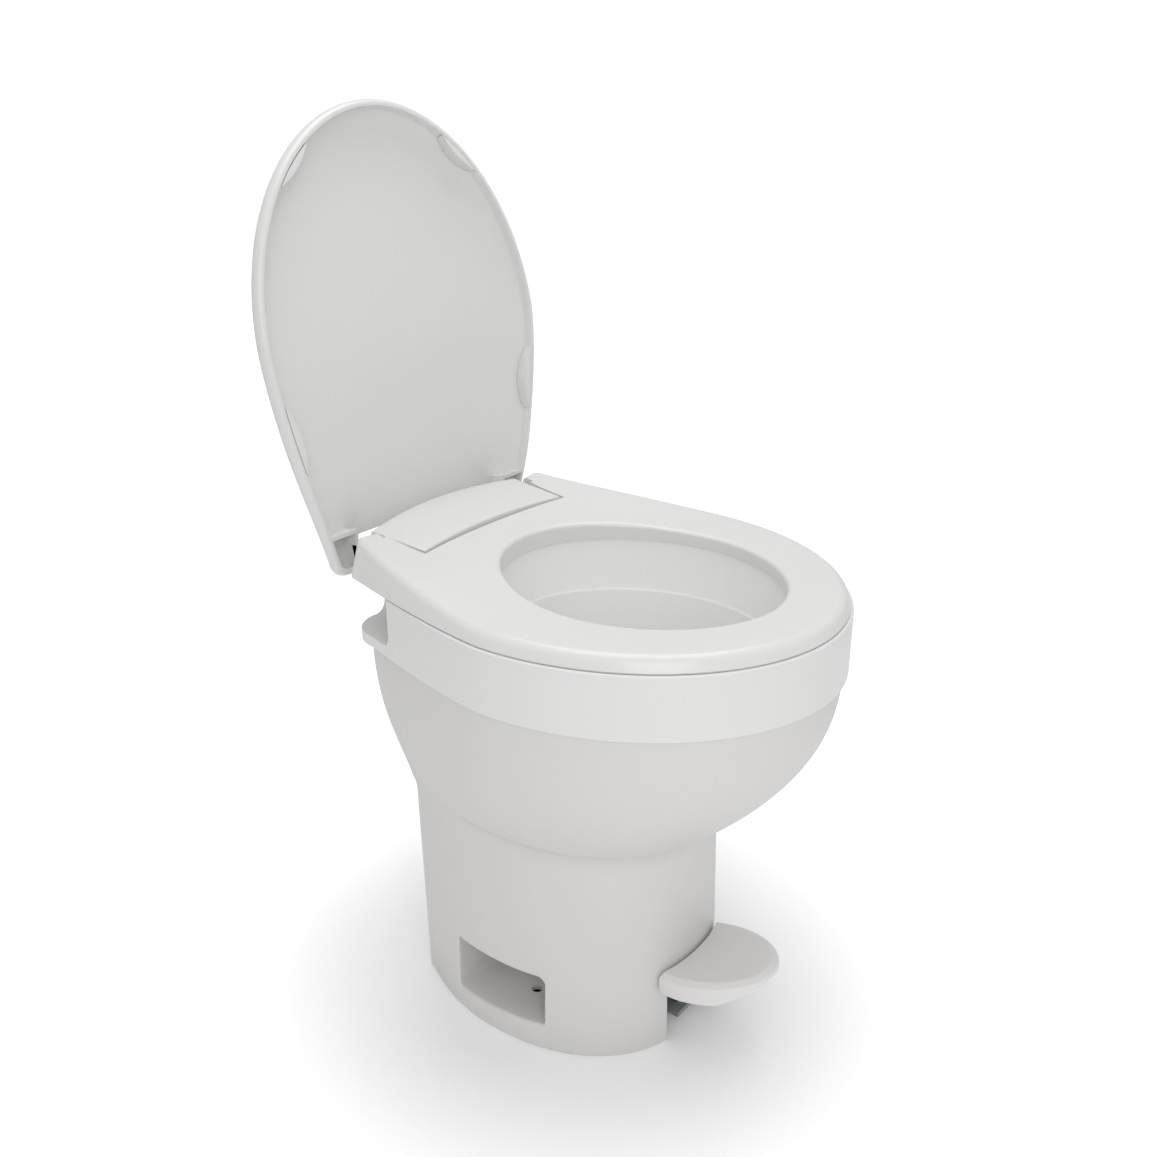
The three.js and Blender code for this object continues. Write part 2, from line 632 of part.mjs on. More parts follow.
function buildHousing() {
  const outerR = CHAMBER_RADIUS + CHAMBER_WALL;
  const outletOuter = OUTLET_RADIUS + OUTLET_WALL;
  const flangeZ = FLOOR_SEAL_THICKNESS + TOUCH_GAP;
  const sealSeat = SEAL_BOTTOM - TOUCH_GAP;
  let housing = turned([
    [OUTLET_RADIUS, flangeZ], [FLANGE_RADIUS, flangeZ], [FLANGE_RADIUS, flangeZ + FLANGE_THICKNESS],
    [outletOuter, flangeZ + FLANGE_THICKNESS], [outletOuter, CHAMBER_BOTTOM - OUTLET_CONE],
    [outerR, CHAMBER_BOTTOM], [outerR, CHAMBER_TOP - FLANGE_THICKNESS],
    [FLANGE_RADIUS, CHAMBER_TOP - FLANGE_THICKNESS], [FLANGE_RADIUS, CHAMBER_TOP],
    [CHAMBER_RADIUS, CHAMBER_TOP], [CHAMBER_RADIUS, sealSeat], [CHAMBER_RADIUS - SEAL_LIP_WIDTH, sealSeat],
    [CHAMBER_RADIUS, sealSeat - SEAL_LIP_DROP], [CHAMBER_RADIUS, CHAMBER_BOTTOM + CHAMBER_WALL],
    [OUTLET_RADIUS, CHAMBER_BOTTOM - OUTLET_CONE + CHAMBER_WALL],
  ], 0, OUTLET_Y);
  for (const side of [-1, 1]) {
    const inner = side * (CHAMBER_RADIUS + JOIN_OVERLAP);
    const end = side * (outerR + BOSS_LENGTH);
    housing = housing.add(rod(Math.min(inner, end), Math.max(inner, end), OUTLET_Y, BALL_Z, BOSS_RADIUS));
    const bore = side * (outerR + OVERRUN);
    housing = cut(housing, rod(Math.min(0, bore), Math.max(0, bore), OUTLET_Y, BALL_Z,
      BALL_SHAFT_RADIUS + BEARING_GAP));
    const plateX = side * BRACKET_X;
    const plate = box(plateX - BRACKET_WIDTH / 2, plateX + BRACKET_WIDTH / 2,
      PEDAL_PIVOT_Y - PEDAL_HUB_RADIUS, OUTLET_Y - OUTLET_RADIUS / 2,
      PEDAL_PIVOT_Z - BRACKET_HEIGHT / 2, PEDAL_PIVOT_Z + BRACKET_HEIGHT / 2);
    const outletBore = post(0, OUTLET_Y, 0, CHAMBER_TOP, OUTLET_RADIUS + JOIN_OVERLAP, TURNED_SEGMENTS);
    housing = housing.add(cut(plate, outletBore));
  }
  const pedalBore = rod(-BRACKET_X - OVERRUN, BRACKET_X + OVERRUN, PEDAL_PIVOT_Y, PEDAL_PIVOT_Z,
    PEDAL_SHAFT_RADIUS + BEARING_GAP);
  const tray = box(-SPRING_TRAY_WIDTH / 2, SPRING_TRAY_WIDTH / 2, SPRING_Y - SPRING_TRAY_REACH,
    OUTLET_Y - OUTLET_RADIUS - JOIN_OVERLAP, flangeZ, flangeZ + FLANGE_THICKNESS);
  return cut(housing.add(tray), pedalBore);
}

addPiece('valve_housing', toGeometry(buildHousing()), plastic(COLOURS.valve, 0.5));

const seal = turned([
  [THROAT_RADIUS + RUNNING_GAP, SEAL_BOTTOM], [CHAMBER_RADIUS - TOUCH_GAP, SEAL_BOTTOM],
  [CHAMBER_RADIUS - TOUCH_GAP, SEAL_TOP - TOUCH_GAP], [THROAT_RADIUS, SEAL_TOP - TOUCH_GAP],
], 0, OUTLET_Y);
addPiece('waste_ball_seal', toGeometry(seal), plastic(COLOURS.rubber, 0.8));

const BALL_SEGMENTS = 28;
const BALL_RINGS = 18;
const BALL_HUB_WALL = 3;
const BALL_HUB_END = 2;
const SHAFT_END = 2;

function sphere(radius) {
  const geometry = new THREE.SphereGeometry(radius, BALL_SEGMENTS, BALL_RINGS);
  geometry.translate(0, OUTLET_Y, BALL_Z);
  return toSolid(geometry);
}

const SHAFT_END_X = GEAR_PLANE_X + GEAR_WIDTH / 2 + SHAFT_END;
const CAM_PLANE_X = -GEAR_PLANE_X;

function buildWasteBall() {
  const skin = cut(sphere(BALL_RADIUS - RUNNING_GAP), sphere(BALL_RADIUS - BALL_WALL));
  const strip = box(-BALL_RADIUS, BALL_RADIUS, OUTLET_Y - BALL_STRIP, OUTLET_Y + BALL_STRIP,
    BALL_Z - BALL_SHAFT_RADIUS - BALL_HUB_WALL, BALL_Z + BALL_RADIUS + OVERRUN);
  const cap = skin.intersect(strip);
  const hubs = [-1, 1].map((side) => {
    const a = side * (BALL_RADIUS - BALL_WALL - BALL_HUB_WALL);
    const b = side * (BALL_RADIUS + BALL_HUB_END);
    return rod(Math.min(a, b), Math.max(a, b), OUTLET_Y, BALL_Z, BALL_SHAFT_RADIUS + BALL_HUB_WALL);
  });
  const drive = rod(BALL_RADIUS - BALL_WALL, GEAR_PLANE_X - GEAR_WIDTH / 2 - TOUCH_GAP, OUTLET_Y, BALL_Z,
    BALL_SHAFT_RADIUS);
  const idle = rod(CAM_PLANE_X + CAM_WIDTH / 2 + TOUCH_GAP, -BALL_RADIUS + BALL_WALL, OUTLET_Y, BALL_Z,
    BALL_SHAFT_RADIUS);
  return union(cap, ...hubs, drive, idle);
}

addPiece('waste_ball', toGeometry(buildWasteBall()), plastic(COLOURS.gear, 0.35));

// Gears: a wheel's or sector's outline in the (y, z) plane, extruded along X

const TOOTH_TIP_SHARE = 0.9;
const TOOTH_ROOT_SHARE = 1.2;
const TOOTH_ROOT_WIDTH_SHARE = 0.36;
const TOOTH_TIP_WIDTH_SHARE = 0.11;
const SECTOR_INNER_STEPS = 6;

function toothedOutline(teeth, firstTooth, lastTooth, phase) {
  const pitch = GEAR_MODULE * teeth / 2;
  const tip = pitch + GEAR_MODULE * TOOTH_TIP_SHARE;
  const root = pitch - GEAR_MODULE * TOOTH_ROOT_SHARE;
  const step = 2 * Math.PI / teeth;
  const backlashAngle = GEAR_BACKLASH / pitch;
  const points = [];
  for (let tooth = firstTooth; tooth <= lastTooth; tooth++) {
    const middle = phase + tooth * step;
    const rootHalf = step * TOOTH_ROOT_WIDTH_SHARE;
    const pitchHalf = step / 4 - backlashAngle;
    const tipHalf = step * TOOTH_TIP_WIDTH_SHARE;
    for (const [radius, offset] of [[root, -rootHalf], [pitch, -pitchHalf], [tip, -tipHalf],
      [tip, tipHalf], [pitch, pitchHalf], [root, rootHalf]]) {
      points.push(new THREE.Vector2(radius * Math.cos(middle + offset), radius * Math.sin(middle + offset)));
    }
  }
  return points;
}

// Extrudes a (y, z) outline by width along X, centred on plane x, about the axis at (y, z)
function plateAcrossX(points, width, x, y, z) {
  const geometry = new THREE.ExtrudeGeometry(new THREE.Shape(points), { depth: width, bevelEnabled: false });
  geometry.applyMatrix4(new THREE.Matrix4().makeBasis(
    new THREE.Vector3(0, 1, 0), new THREE.Vector3(0, 0, 1), new THREE.Vector3(1, 0, 0)));
  geometry.translate(x - width / 2, y, z);
  return orientedSolid(geometry);
}

function buildPinion() {
  // A tooth space faces the sector, whose tooth lies on the line of centres
  const phase = MESH_ANGLE + Math.PI + Math.PI / PINION_TEETH;
  const outline = toothedOutline(PINION_TEETH, 0, PINION_TEETH - 1, phase);
  return plateAcrossX(outline, GEAR_WIDTH, GEAR_PLANE_X, OUTLET_Y, BALL_Z);
}

function buildSector() {
  const step = 2 * Math.PI / SECTOR_TEETH;
  const pitch = GEAR_MODULE * SECTOR_TEETH / 2;
  const first = Math.ceil((SECTOR_START_ANGLE * DEG - MESH_ANGLE) / step);
  const last = Math.floor((SECTOR_END_ANGLE * DEG - MESH_ANGLE) / step);
  const rimInner = pitch - GEAR_MODULE * TOOTH_ROOT_SHARE - SECTOR_RIM;
  const outline = toothedOutline(SECTOR_TEETH, first, last, MESH_ANGLE);
  const start = MESH_ANGLE + first * step;
  const end = MESH_ANGLE + last * step;
  for (let i = 0; i <= SECTOR_INNER_STEPS; i++) {
    const angle = end + (start - end) * i / SECTOR_INNER_STEPS;
    outline.push(new THREE.Vector2(rimInner * Math.cos(angle), rimInner * Math.sin(angle)));
  }
  const rim = plateAcrossX(outline, GEAR_WIDTH, GEAR_PLANE_X, PEDAL_PIVOT_Y, PEDAL_PIVOT_Z);
  const spokes = [start + step, end - step].map((angle) => {
    const along = new THREE.Vector2(Math.cos(angle), Math.sin(angle));
    const across = new THREE.Vector2(-along.y, along.x).multiplyScalar(SECTOR_RIM / 2);
    const far = along.clone().multiplyScalar(rimInner + SECTOR_RIM / 2);
    const points = [across.clone(), across.clone().negate(), far.clone().sub(across),
      far.clone().add(across)];
    return plateAcrossX(points, GEAR_WIDTH, GEAR_PLANE_X, PEDAL_PIVOT_Y, PEDAL_PIVOT_Z);
  });
  const x0 = GEAR_PLANE_X - GEAR_WIDTH / 2;
  const hub = rod(x0, x0 + GEAR_WIDTH, PEDAL_PIVOT_Y, PEDAL_PIVOT_Z, PEDAL_HUB_RADIUS);
  const bore = rod(x0 - OVERRUN, x0 + OVERRUN, PEDAL_PIVOT_Y, PEDAL_PIVOT_Z,
    PEDAL_SHAFT_RADIUS + BEARING_GAP);
  return cut(union(rim, hub, ...spokes), bore);
}

addPiece('drive_pinion', toGeometry(buildPinion()), plastic(COLOURS.gear, 0.4));
addPiece('pedal_sector_gear', toGeometry(buildSector()), plastic(COLOURS.gear, 0.4));

// Water-valve cam on the idle end of the ball's shaft
addPiece('water_cam', toGeometry(rod(CAM_PLANE_X - CAM_WIDTH / 2, CAM_PLANE_X + CAM_WIDTH / 2, OUTLET_Y,
  BALL_Z + CAM_THROW, CAM_RADIUS)), plastic(COLOURS.gear, 0.4));

// Pedal: pad, arm, shaft and return spring

const padOval = {
  halfWidth: PEDAL_HALF_WIDTH, front: PEDAL_REACH, rear: PEDAL_REACH, centreY: PEDAL_CENTRE_Y, power: 2,
};

function pedalTurn(solid, degrees) {
  return solid.translate([0, -PEDAL_PIVOT_Y, -PEDAL_PIVOT_Z]).rotate([degrees, 0, 0])
    .translate([0, PEDAL_PIVOT_Y, PEDAL_PIVOT_Z]);
}

// The pad and arm are built level and then turned up to where the spring holds them
function raised(solid) {
  return pedalTurn(solid, -PEDAL_REST_ANGLE);
}

function buildPad() {
  const bottom = PEDAL_TOP_Z - PEDAL_SKIRT;
  const pad = loft([
    ovalRing(padOval, bottom),
    ovalRing(padOval, PEDAL_TOP_Z - PEDAL_CHAMFER_DROP),
    ovalRing(padOval, PEDAL_TOP_Z, PEDAL_CHAMFER),
  ]);
  const wall = loft([-OVERRUN, NECK_HEIGHT].map((z) => planRing(taperedBase(0), z, -PEDAL_WALL_GAP)));
  const steps = [0, PEDAL_TRAVEL / 2, PEDAL_TRAVEL].map((angle) => PEDAL_REST_ANGLE - angle);
  const tipY = PEDAL_CENTRE_Y - PEDAL_REACH;
  const tipZ = PEDAL_TOP_Z - PEDAL_CHAMFER_DROP - PEDAL_TIP_DEPTH;
  const flatY = PEDAL_CENTRE_Y - PEDAL_REACH * PEDAL_FLAT_SHARE;
  const slope = [[flatY, bottom], [tipY, tipZ], [tipY - OVERRUN, tipZ], [tipY - OVERRUN, bottom - OVERRUN],
    [flatY, bottom - OVERRUN]].map(([y, z]) => new THREE.Vector2(y, z));
  const under = plateAcrossX(slope, PEDAL_HALF_WIDTH * 2 + OVERRUN, 0, 0, 0);
  return raised(cut(pad, ...steps.map((angle) => pedalTurn(wall, angle)), under));
}

addPiece('pedal_pad', toGeometry(buildPad()), plastic(COLOURS.shell, 0.4));

const SPRING_CAP_RADIUS = 8;
const SPRING_CAP_DEPTH = 3;
const armTop = PEDAL_TOP_Z - PEDAL_SKIRT - TOUCH_GAP;
const armUnderZ = (() => {
  const turn = PEDAL_REST_ANGLE * DEG;
  const under = armTop - PEDAL_ARM_DEPTH - PEDAL_PIVOT_Z;
  return PEDAL_PIVOT_Z + under / Math.cos(turn) + (PEDAL_PIVOT_Y - SPRING_Y) * Math.tan(turn);
})();

function buildArm() {
  const arm = box(-PEDAL_ARM_WIDTH / 2, PEDAL_ARM_WIDTH / 2, PEDAL_CENTRE_Y - PEDAL_REACH * PEDAL_FLAT_SHARE,
    PEDAL_PIVOT_Y, armTop - PEDAL_ARM_DEPTH, armTop);
  const heel = box(-PEDAL_ARM_WIDTH / 2, PEDAL_ARM_WIDTH / 2, PEDAL_PIVOT_Y - PEDAL_HUB_RADIUS,
    PEDAL_PIVOT_Y, armTop - PEDAL_ARM_DEPTH, PEDAL_PIVOT_Z);
  const hub = rod(-PEDAL_HUB_WIDTH / 2, PEDAL_HUB_WIDTH / 2, PEDAL_PIVOT_Y, PEDAL_PIVOT_Z, PEDAL_HUB_RADIUS);
  const bore = rod(-PEDAL_HUB_WIDTH, PEDAL_HUB_WIDTH, PEDAL_PIVOT_Y, PEDAL_PIVOT_Z,
    PEDAL_SHAFT_RADIUS + BEARING_GAP);
  const cap = post(0, SPRING_Y, armUnderZ - SPRING_CAP_DEPTH, armUnderZ + SPRING_CAP_DEPTH,
    SPRING_CAP_RADIUS);
  return cut(union(raised(union(arm, heel)), hub, cap), bore);
}

addPiece('pedal_arm', toGeometry(buildArm()), plastic(COLOURS.valve, 0.5));
addPiece('pedal_shaft', toGeometry(rod(-BRACKET_X - BRACKET_WIDTH, SHAFT_END_X,
  PEDAL_PIVOT_Y, PEDAL_PIVOT_Z, PEDAL_SHAFT_RADIUS)), metal(COLOURS.steel));

const HOSE_SIDES = 10;
const HOSE_STEPS_PER_POINT = 4;
const WIRE_SIDES = 6;
const WIRE_STEPS_PER_COIL = 12;

// A tube or wire of round section along a smooth path
function sweep(path, radius, steps, sides = HOSE_SIDES) {
  const section = new THREE.Shape();
  section.absarc(0, 0, radius, 0, 2 * Math.PI);
  const outline = new THREE.Shape(section.getPoints(sides / 2).slice(0, -1));
  return orientedSolid(new THREE.ExtrudeGeometry(outline, { steps, bevelEnabled: false, extrudePath: path }));
}

class HelixPath extends THREE.Curve {
  constructor(radius, bottom, top, coils) {
    super();
    Object.assign(this, { radius, bottom, top, coils });
  }

  getPoint(t, target = new THREE.Vector3()) {
    const angle = t * this.coils * 2 * Math.PI;
    const z = this.bottom + (this.top - this.bottom) * t;
    return target.set(this.radius * Math.cos(angle), SPRING_Y + this.radius * Math.sin(angle), z);
  }
}

const springBottom = FLOOR_SEAL_THICKNESS + FLANGE_THICKNESS + 2 * TOUCH_GAP + SPRING_WIRE;
const springTop = armUnderZ - SPRING_CAP_DEPTH - TOUCH_GAP - SPRING_WIRE;
const springPath = new HelixPath(SPRING_RADIUS, springBottom, springTop, SPRING_COILS);
addPiece('return_spring', toGeometry(sweep(springPath, SPRING_WIRE, SPRING_COILS * WIRE_STEPS_PER_COIL,
  WIRE_SIDES)), metal(COLOURS.steel));

const FLOOR_SEAL_INNER = 45;
const FLOOR_SEAL_OUTER = 70;
addPiece('floor_flange_seal', toGeometry(turned([
  [FLOOR_SEAL_INNER, 0], [FLOOR_SEAL_OUTER, 0], [FLOOR_SEAL_OUTER, FLOOR_SEAL_THICKNESS],
  [FLOOR_SEAL_INNER, FLOOR_SEAL_THICKNESS],
], 0, OUTLET_Y)), plastic(COLOURS.rubber, 0.8));

// Water supply: inlet, valve worked by the cam, vacuum breaker, hoses and the bowl's rinse nozzle

const VALVE_FRONT_Y = 92;
const VALVE_REAR_Y = 140;
const VALVE_RADIUS = 13;
const PLUNGER_STEM_RADIUS = 3;
const PLUNGER_HEAD_RADIUS = 7;
const PLUNGER_HEAD_THICKNESS = 3;
const PLUNGER_STEM_END_Y = 105;
const PLUNGER_TRAVEL = 5;
const PLUNGER_END_ROOM = 2;
const VALVE_BORE_END_Y = PLUNGER_STEM_END_Y + PLUNGER_TRAVEL + PLUNGER_END_ROOM;
const VALVE_OUTLET_Y = 125;
const VALVE_OUTLET_RADIUS = 6;
const VALVE_OUTLET_LENGTH = 6;
const INLET_RADIUS = 10;
const INLET_END_Y = 206;
const BREAKER_Y = 152;
const BREAKER_DROP = 143.4;
const BREAKER_BOTTOM_Z = RIM_TOP - BREAKER_DROP;
const BREAKER_HEIGHT = 45;
const BREAKER_RADIUS = 15;
const HOSE_RADIUS = 4.5;
const NOZZLE_LENGTH = 24;

const valveBody = cut(
  union(
    barrel(CAM_PLANE_X, VALVE_FRONT_Y, VALVE_REAR_Y, BALL_Z, VALVE_RADIUS),
    post(CAM_PLANE_X, VALVE_OUTLET_Y, BALL_Z, BALL_Z + VALVE_RADIUS + VALVE_OUTLET_LENGTH,
      VALVE_OUTLET_RADIUS),
  ),
  barrel(CAM_PLANE_X, VALVE_FRONT_Y - OVERRUN, VALVE_BORE_END_Y, BALL_Z, PLUNGER_STEM_RADIUS + BEARING_GAP),
);
addPiece('water_valve', toGeometry(valveBody), plastic(COLOURS.valve, 0.5));

const plungerFrontY = OUTLET_Y + CAM_RADIUS + PLUNGER_LAG_GAP;
addPiece('water_valve_plunger', toGeometry(union(
  barrel(CAM_PLANE_X, plungerFrontY, plungerFrontY + PLUNGER_HEAD_THICKNESS, BALL_Z, PLUNGER_HEAD_RADIUS),
  barrel(CAM_PLANE_X, plungerFrontY, PLUNGER_STEM_END_Y, BALL_Z, PLUNGER_STEM_RADIUS),
)), metal(COLOURS.steel));

addPiece('inlet_fitting', toGeometry(barrel(CAM_PLANE_X, VALVE_REAR_Y + TOUCH_GAP, INLET_END_Y, BALL_Z,
  INLET_RADIUS)), metal(COLOURS.brass));

addPiece('vacuum_breaker', toGeometry(post(CAM_PLANE_X, BREAKER_Y, BREAKER_BOTTOM_Z,
  BREAKER_BOTTOM_Z + BREAKER_HEIGHT, BREAKER_RADIUS)), plastic(COLOURS.valve, 0.5));

// Shares of the way from the valve's outlet to the vacuum breaker, along Y and up
const SUPPLY_ROUTE_SHARES = [[0, 0.122], [0.481, 0.457], [0.963, 0.782]];
// Distance in from the seat's side, Y, and drop below the rim's top
const RINSE_ROUTE = [[117.5, 152, 88.4], [108.5, 154, 73.4], [78.5, 157, 64.4], [46.5, 134, 58.4],
  [30.5, 100, 39.4], [26.5, 66, 23.4], [28.5, 34, 18.4], [38.5, 20, 18.4]];

function hose(start, route, end) {
  const points = [start, ...route, end].map((point) => new THREE.Vector3(...point));
  return sweep(new THREE.CatmullRomCurve3(points), HOSE_RADIUS, points.length * HOSE_STEPS_PER_POINT);
}

const outletTopZ = BALL_Z + VALVE_RADIUS + VALVE_OUTLET_LENGTH + TOUCH_GAP;
const supplyEndZ = BREAKER_BOTTOM_Z - TOUCH_GAP;
const supplyRoute = SUPPLY_ROUTE_SHARES.map(([along, up]) => [CAM_PLANE_X,
  VALVE_OUTLET_Y + (BREAKER_Y - VALVE_OUTLET_Y) * along, outletTopZ + (supplyEndZ - outletTopZ) * up]);
addPiece('supply_hose', toGeometry(hose([CAM_PLANE_X, VALVE_OUTLET_Y, outletTopZ], supplyRoute,
  [CAM_PLANE_X, BREAKER_Y, supplyEndZ])), plastic(COLOURS.hose, 0.4));

const nozzleTipX = -(HOLE_WIDTH / 2);
const nozzleTailX = nozzleTipX - NOZZLE_LENGTH;
const rinseRoute = RINSE_ROUTE.map(([inset, y, drop], i) => (
  [i === 0 ? CAM_PLANE_X : inset - SEAT_WIDTH / 2, y, RIM_TOP - drop]));
const rinseStart = [CAM_PLANE_X, BREAKER_Y, BREAKER_BOTTOM_Z + BREAKER_HEIGHT + TOUCH_GAP];
addPiece('rinse_hose', toGeometry(hose(rinseStart, rinseRoute, [nozzleTailX - TOUCH_GAP, NOZZLE_Y, NOZZLE_Z])),
  plastic(COLOURS.hose, 0.4));
addPiece('rinse_nozzle', toGeometry(rod(nozzleTailX, nozzleTipX, NOZZLE_Y, NOZZLE_Z, NOZZLE_RADIUS)),
  plastic(COLOURS.valve, 0.5));

// Hinge: bracket, pins and the cover panel between the seat's ears

const BRACKET_PLATE_STEP = 12;
const BRACKET_PLATE_FRONT_Y = 178;
const BRACKET_PLATE_REAR_Y = 212;
const BRACKET_PLATE_THICKNESS = 4;
const HINGE_POST_INNER_STEP = 18;
const HINGE_POST_OUTER_STEP = 8;
const HINGE_POST_RADIUS = 9;
const HINGE_PIN_RADIUS = 4;
const PANEL_FRONT_Y = 160;
const PANEL_SIDE_DRAW_IN = 4;
const PANEL_FRONT_BOW = 10.5;
const PANEL_REAR_Y = 224;
const EAR_WIDTH = 42;
const PANEL_REAR_BOW = 14;
const PANEL_CROWN = 3;
const PANEL_FRONT_RISE = 11.6;
const PANEL_REAR_RISE = 17.6;
const PANEL_WALL = 3;
const PANEL_LIP_RISE = 5;
const PANEL_EDGE_ROUND = 1.5;
const LID_ARM_WIDTH = 3.5;
const ARM_SIDE_GAP = 1;
const KNUCKLE_WIDTH = 19.5;
const PIN_END_GAP = 0.5;

const PANEL_REAR_HALF_WIDTH = SEAT_REAR_WIDTH / 2 - EAR_WIDTH;
const PANEL_FRONT_HALF_WIDTH = PANEL_REAR_HALF_WIDTH - PANEL_SIDE_DRAW_IN;
const PANEL_FRONT_Z = SEAT_HEIGHT + PANEL_FRONT_RISE;
const PANEL_REAR_Z = SEAT_HEIGHT + PANEL_REAR_RISE;
const PANEL_LIP_Z = SEAT_HEIGHT + PANEL_LIP_RISE;
const BRACKET_PLATE_HALF_WIDTH = PANEL_REAR_HALF_WIDTH - BRACKET_PLATE_STEP;
const HINGE_POST_INNER_X = PANEL_REAR_HALF_WIDTH - HINGE_POST_INNER_STEP;
const HINGE_POST_OUTER_X = PANEL_REAR_HALF_WIDTH - HINGE_POST_OUTER_STEP;
const LID_ARM_INNER_X = PANEL_REAR_HALF_WIDTH + ARM_SIDE_GAP;
const LID_ARM_OUTER_X = LID_ARM_INNER_X + LID_ARM_WIDTH;
const KNUCKLE_INNER_X = LID_ARM_OUTER_X + ARM_SIDE_GAP;
const KNUCKLE_OUTER_X = KNUCKLE_INNER_X + KNUCKLE_WIDTH;
const HINGE_PIN_END_X = KNUCKLE_OUTER_X - PIN_END_GAP;

const bracketBottom = RIM_TOP + TOUCH_GAP;
const bracketTop = bracketBottom + BRACKET_PLATE_THICKNESS;

// Two distances from the middle, as an x range on the left (side -1) or right (side 1)
function sideSpan(side, near, far) {
  return side < 0 ? [-far, -near] : [near, far];
}

function buildBracket() {
  let bracket = box(-BRACKET_PLATE_HALF_WIDTH, BRACKET_PLATE_HALF_WIDTH, BRACKET_PLATE_FRONT_Y,
    BRACKET_PLATE_REAR_Y, bracketBottom, bracketTop);
  for (const side of [-1, 1]) {
    const [x0, x1] = sideSpan(side, HINGE_POST_INNER_X, HINGE_POST_OUTER_X);
    const web = box(x0, x1, HINGE_Y - HINGE_POST_RADIUS, BRACKET_PLATE_REAR_Y, bracketBottom, HINGE_Z);
    bracket = union(bracket, web, rod(x0, x1, HINGE_Y, HINGE_Z, HINGE_POST_RADIUS));
    bracket = cut(bracket, rod(x0 - OVERRUN, x1 + OVERRUN, HINGE_Y, HINGE_Z,
      HINGE_PIN_RADIUS + BEARING_GAP));
  }
  return bracket;
}

addPiece('hinge_bracket', toGeometry(buildBracket()), plastic(COLOURS.shell, 0.45));
addPiece('hinge_pin_left', toGeometry(rod(-HINGE_PIN_END_X, -HINGE_POST_INNER_X, HINGE_Y, HINGE_Z,
  HINGE_PIN_RADIUS)), metal(COLOURS.steel));
addPiece('hinge_pin_right', toGeometry(rod(HINGE_POST_INNER_X, HINGE_PIN_END_X, HINGE_Y, HINGE_Z,
  HINGE_PIN_RADIUS)), metal(COLOURS.steel));

const PANEL_STEPS = 8;

// The hinge cover's outline from above; grow is positive outwards
function panelOutline(grow, rearY = null) {
  const points = [];
  for (let i = 0; i <= PANEL_STEPS; i++) {
    const across = 2 * i / PANEL_STEPS - 1;
    points.push([across * (PANEL_FRONT_HALF_WIDTH + grow),
      PANEL_FRONT_Y + PANEL_FRONT_BOW * (1 - across ** 2) - grow]);
  }
  for (let i = PANEL_STEPS; i >= 0; i--) {
    const across = 2 * i / PANEL_STEPS - 1;
    points.push([across * (PANEL_REAR_HALF_WIDTH + grow),
      rearY ?? PANEL_REAR_Y + PANEL_REAR_BOW * (1 - across ** 2) + grow]);
  }
  return points;
}

function panelRing(grow, height) {
  const heightOf = typeof height === 'function' ? height : () => height;
  return panelOutline(grow).map(([x, y]) => new THREE.Vector3(x, y, heightOf(x, y)));
}

function panelTop(x, y) {
  const run = (y - PANEL_FRONT_Y) / (PANEL_REAR_Y - PANEL_FRONT_Y);
  const crown = PANEL_CROWN * (1 - Math.min(1, Math.abs(x) / PANEL_FRONT_HALF_WIDTH) ** 2);
  return PANEL_FRONT_Z + (PANEL_REAR_Z - PANEL_FRONT_Z + crown) * Math.min(1, run);
}

function buildHingeCover() {
  const bottom = bracketTop + TOUCH_GAP;
  const outer = loft([
    panelRing(0, bottom),
    panelRing(0, (x, y) => panelTop(x, y) - PANEL_EDGE_ROUND),
    panelRing(-PANEL_EDGE_ROUND, panelTop),
  ]);
  const inner = loft([
    panelRing(-PANEL_WALL, bottom - OVERRUN),
    panelRing(-PANEL_WALL, (x, y) => panelTop(x, y) - PANEL_WALL),
  ]);
  const overhang = box(-HINGE_PIN_END_X, HINGE_PIN_END_X, BRACKET_PLATE_REAR_Y + PANEL_GAP * 2,
    PANEL_REAR_Y + PANEL_REAR_BOW + OVERRUN, bottom - OVERRUN, PANEL_LIP_Z);
  const pinWay = union(
    rod(-HINGE_PIN_END_X, HINGE_PIN_END_X, HINGE_Y, HINGE_Z, HINGE_PIN_RADIUS + RUNNING_GAP),
    box(-HINGE_PIN_END_X, HINGE_PIN_END_X, HINGE_Y - HINGE_PIN_RADIUS - RUNNING_GAP,
      HINGE_Y + HINGE_PIN_RADIUS + RUNNING_GAP, bottom - OVERRUN, HINGE_Z),
  );
  return cut(outer, inner, overhang, pinWay);
}

addPiece('hinge_cover', toGeometry(buildHingeCover()), plastic(COLOURS.cover, 0.3));

// Seat: a hollow ring with a contoured top, knuckles on the hinge pins, a closing plate and four bumpers

const SEAT_LOWER_ROUND = 1.2;
const KNUCKLE_RADIUS = 8;
const EAR_ROUND = 10;
const ARM_SLOT_OUTER_GAP = 0.5;
const ARM_SLOT_INNER_GAP = 3;
const ARM_SLOT_FRONT_Y = 202.5;
const UNDERPLATE_REAR_Y = 203.5;
const UNDERPLATE_THICKNESS = 2.5;
const UNDERPLATE_RECESS = 2;
const BUMPER_RADIUS = 10;
const BUMPER_SEGMENTS = 16;
// Places as shares of the seat's half width and front reach
const SEAT_BUMPER_SHARES = [[0.4336, -0.64], [0.7588, 0.5047]];
const SEAT_RING_INSETS = [26, 40, 56, 74, 92];

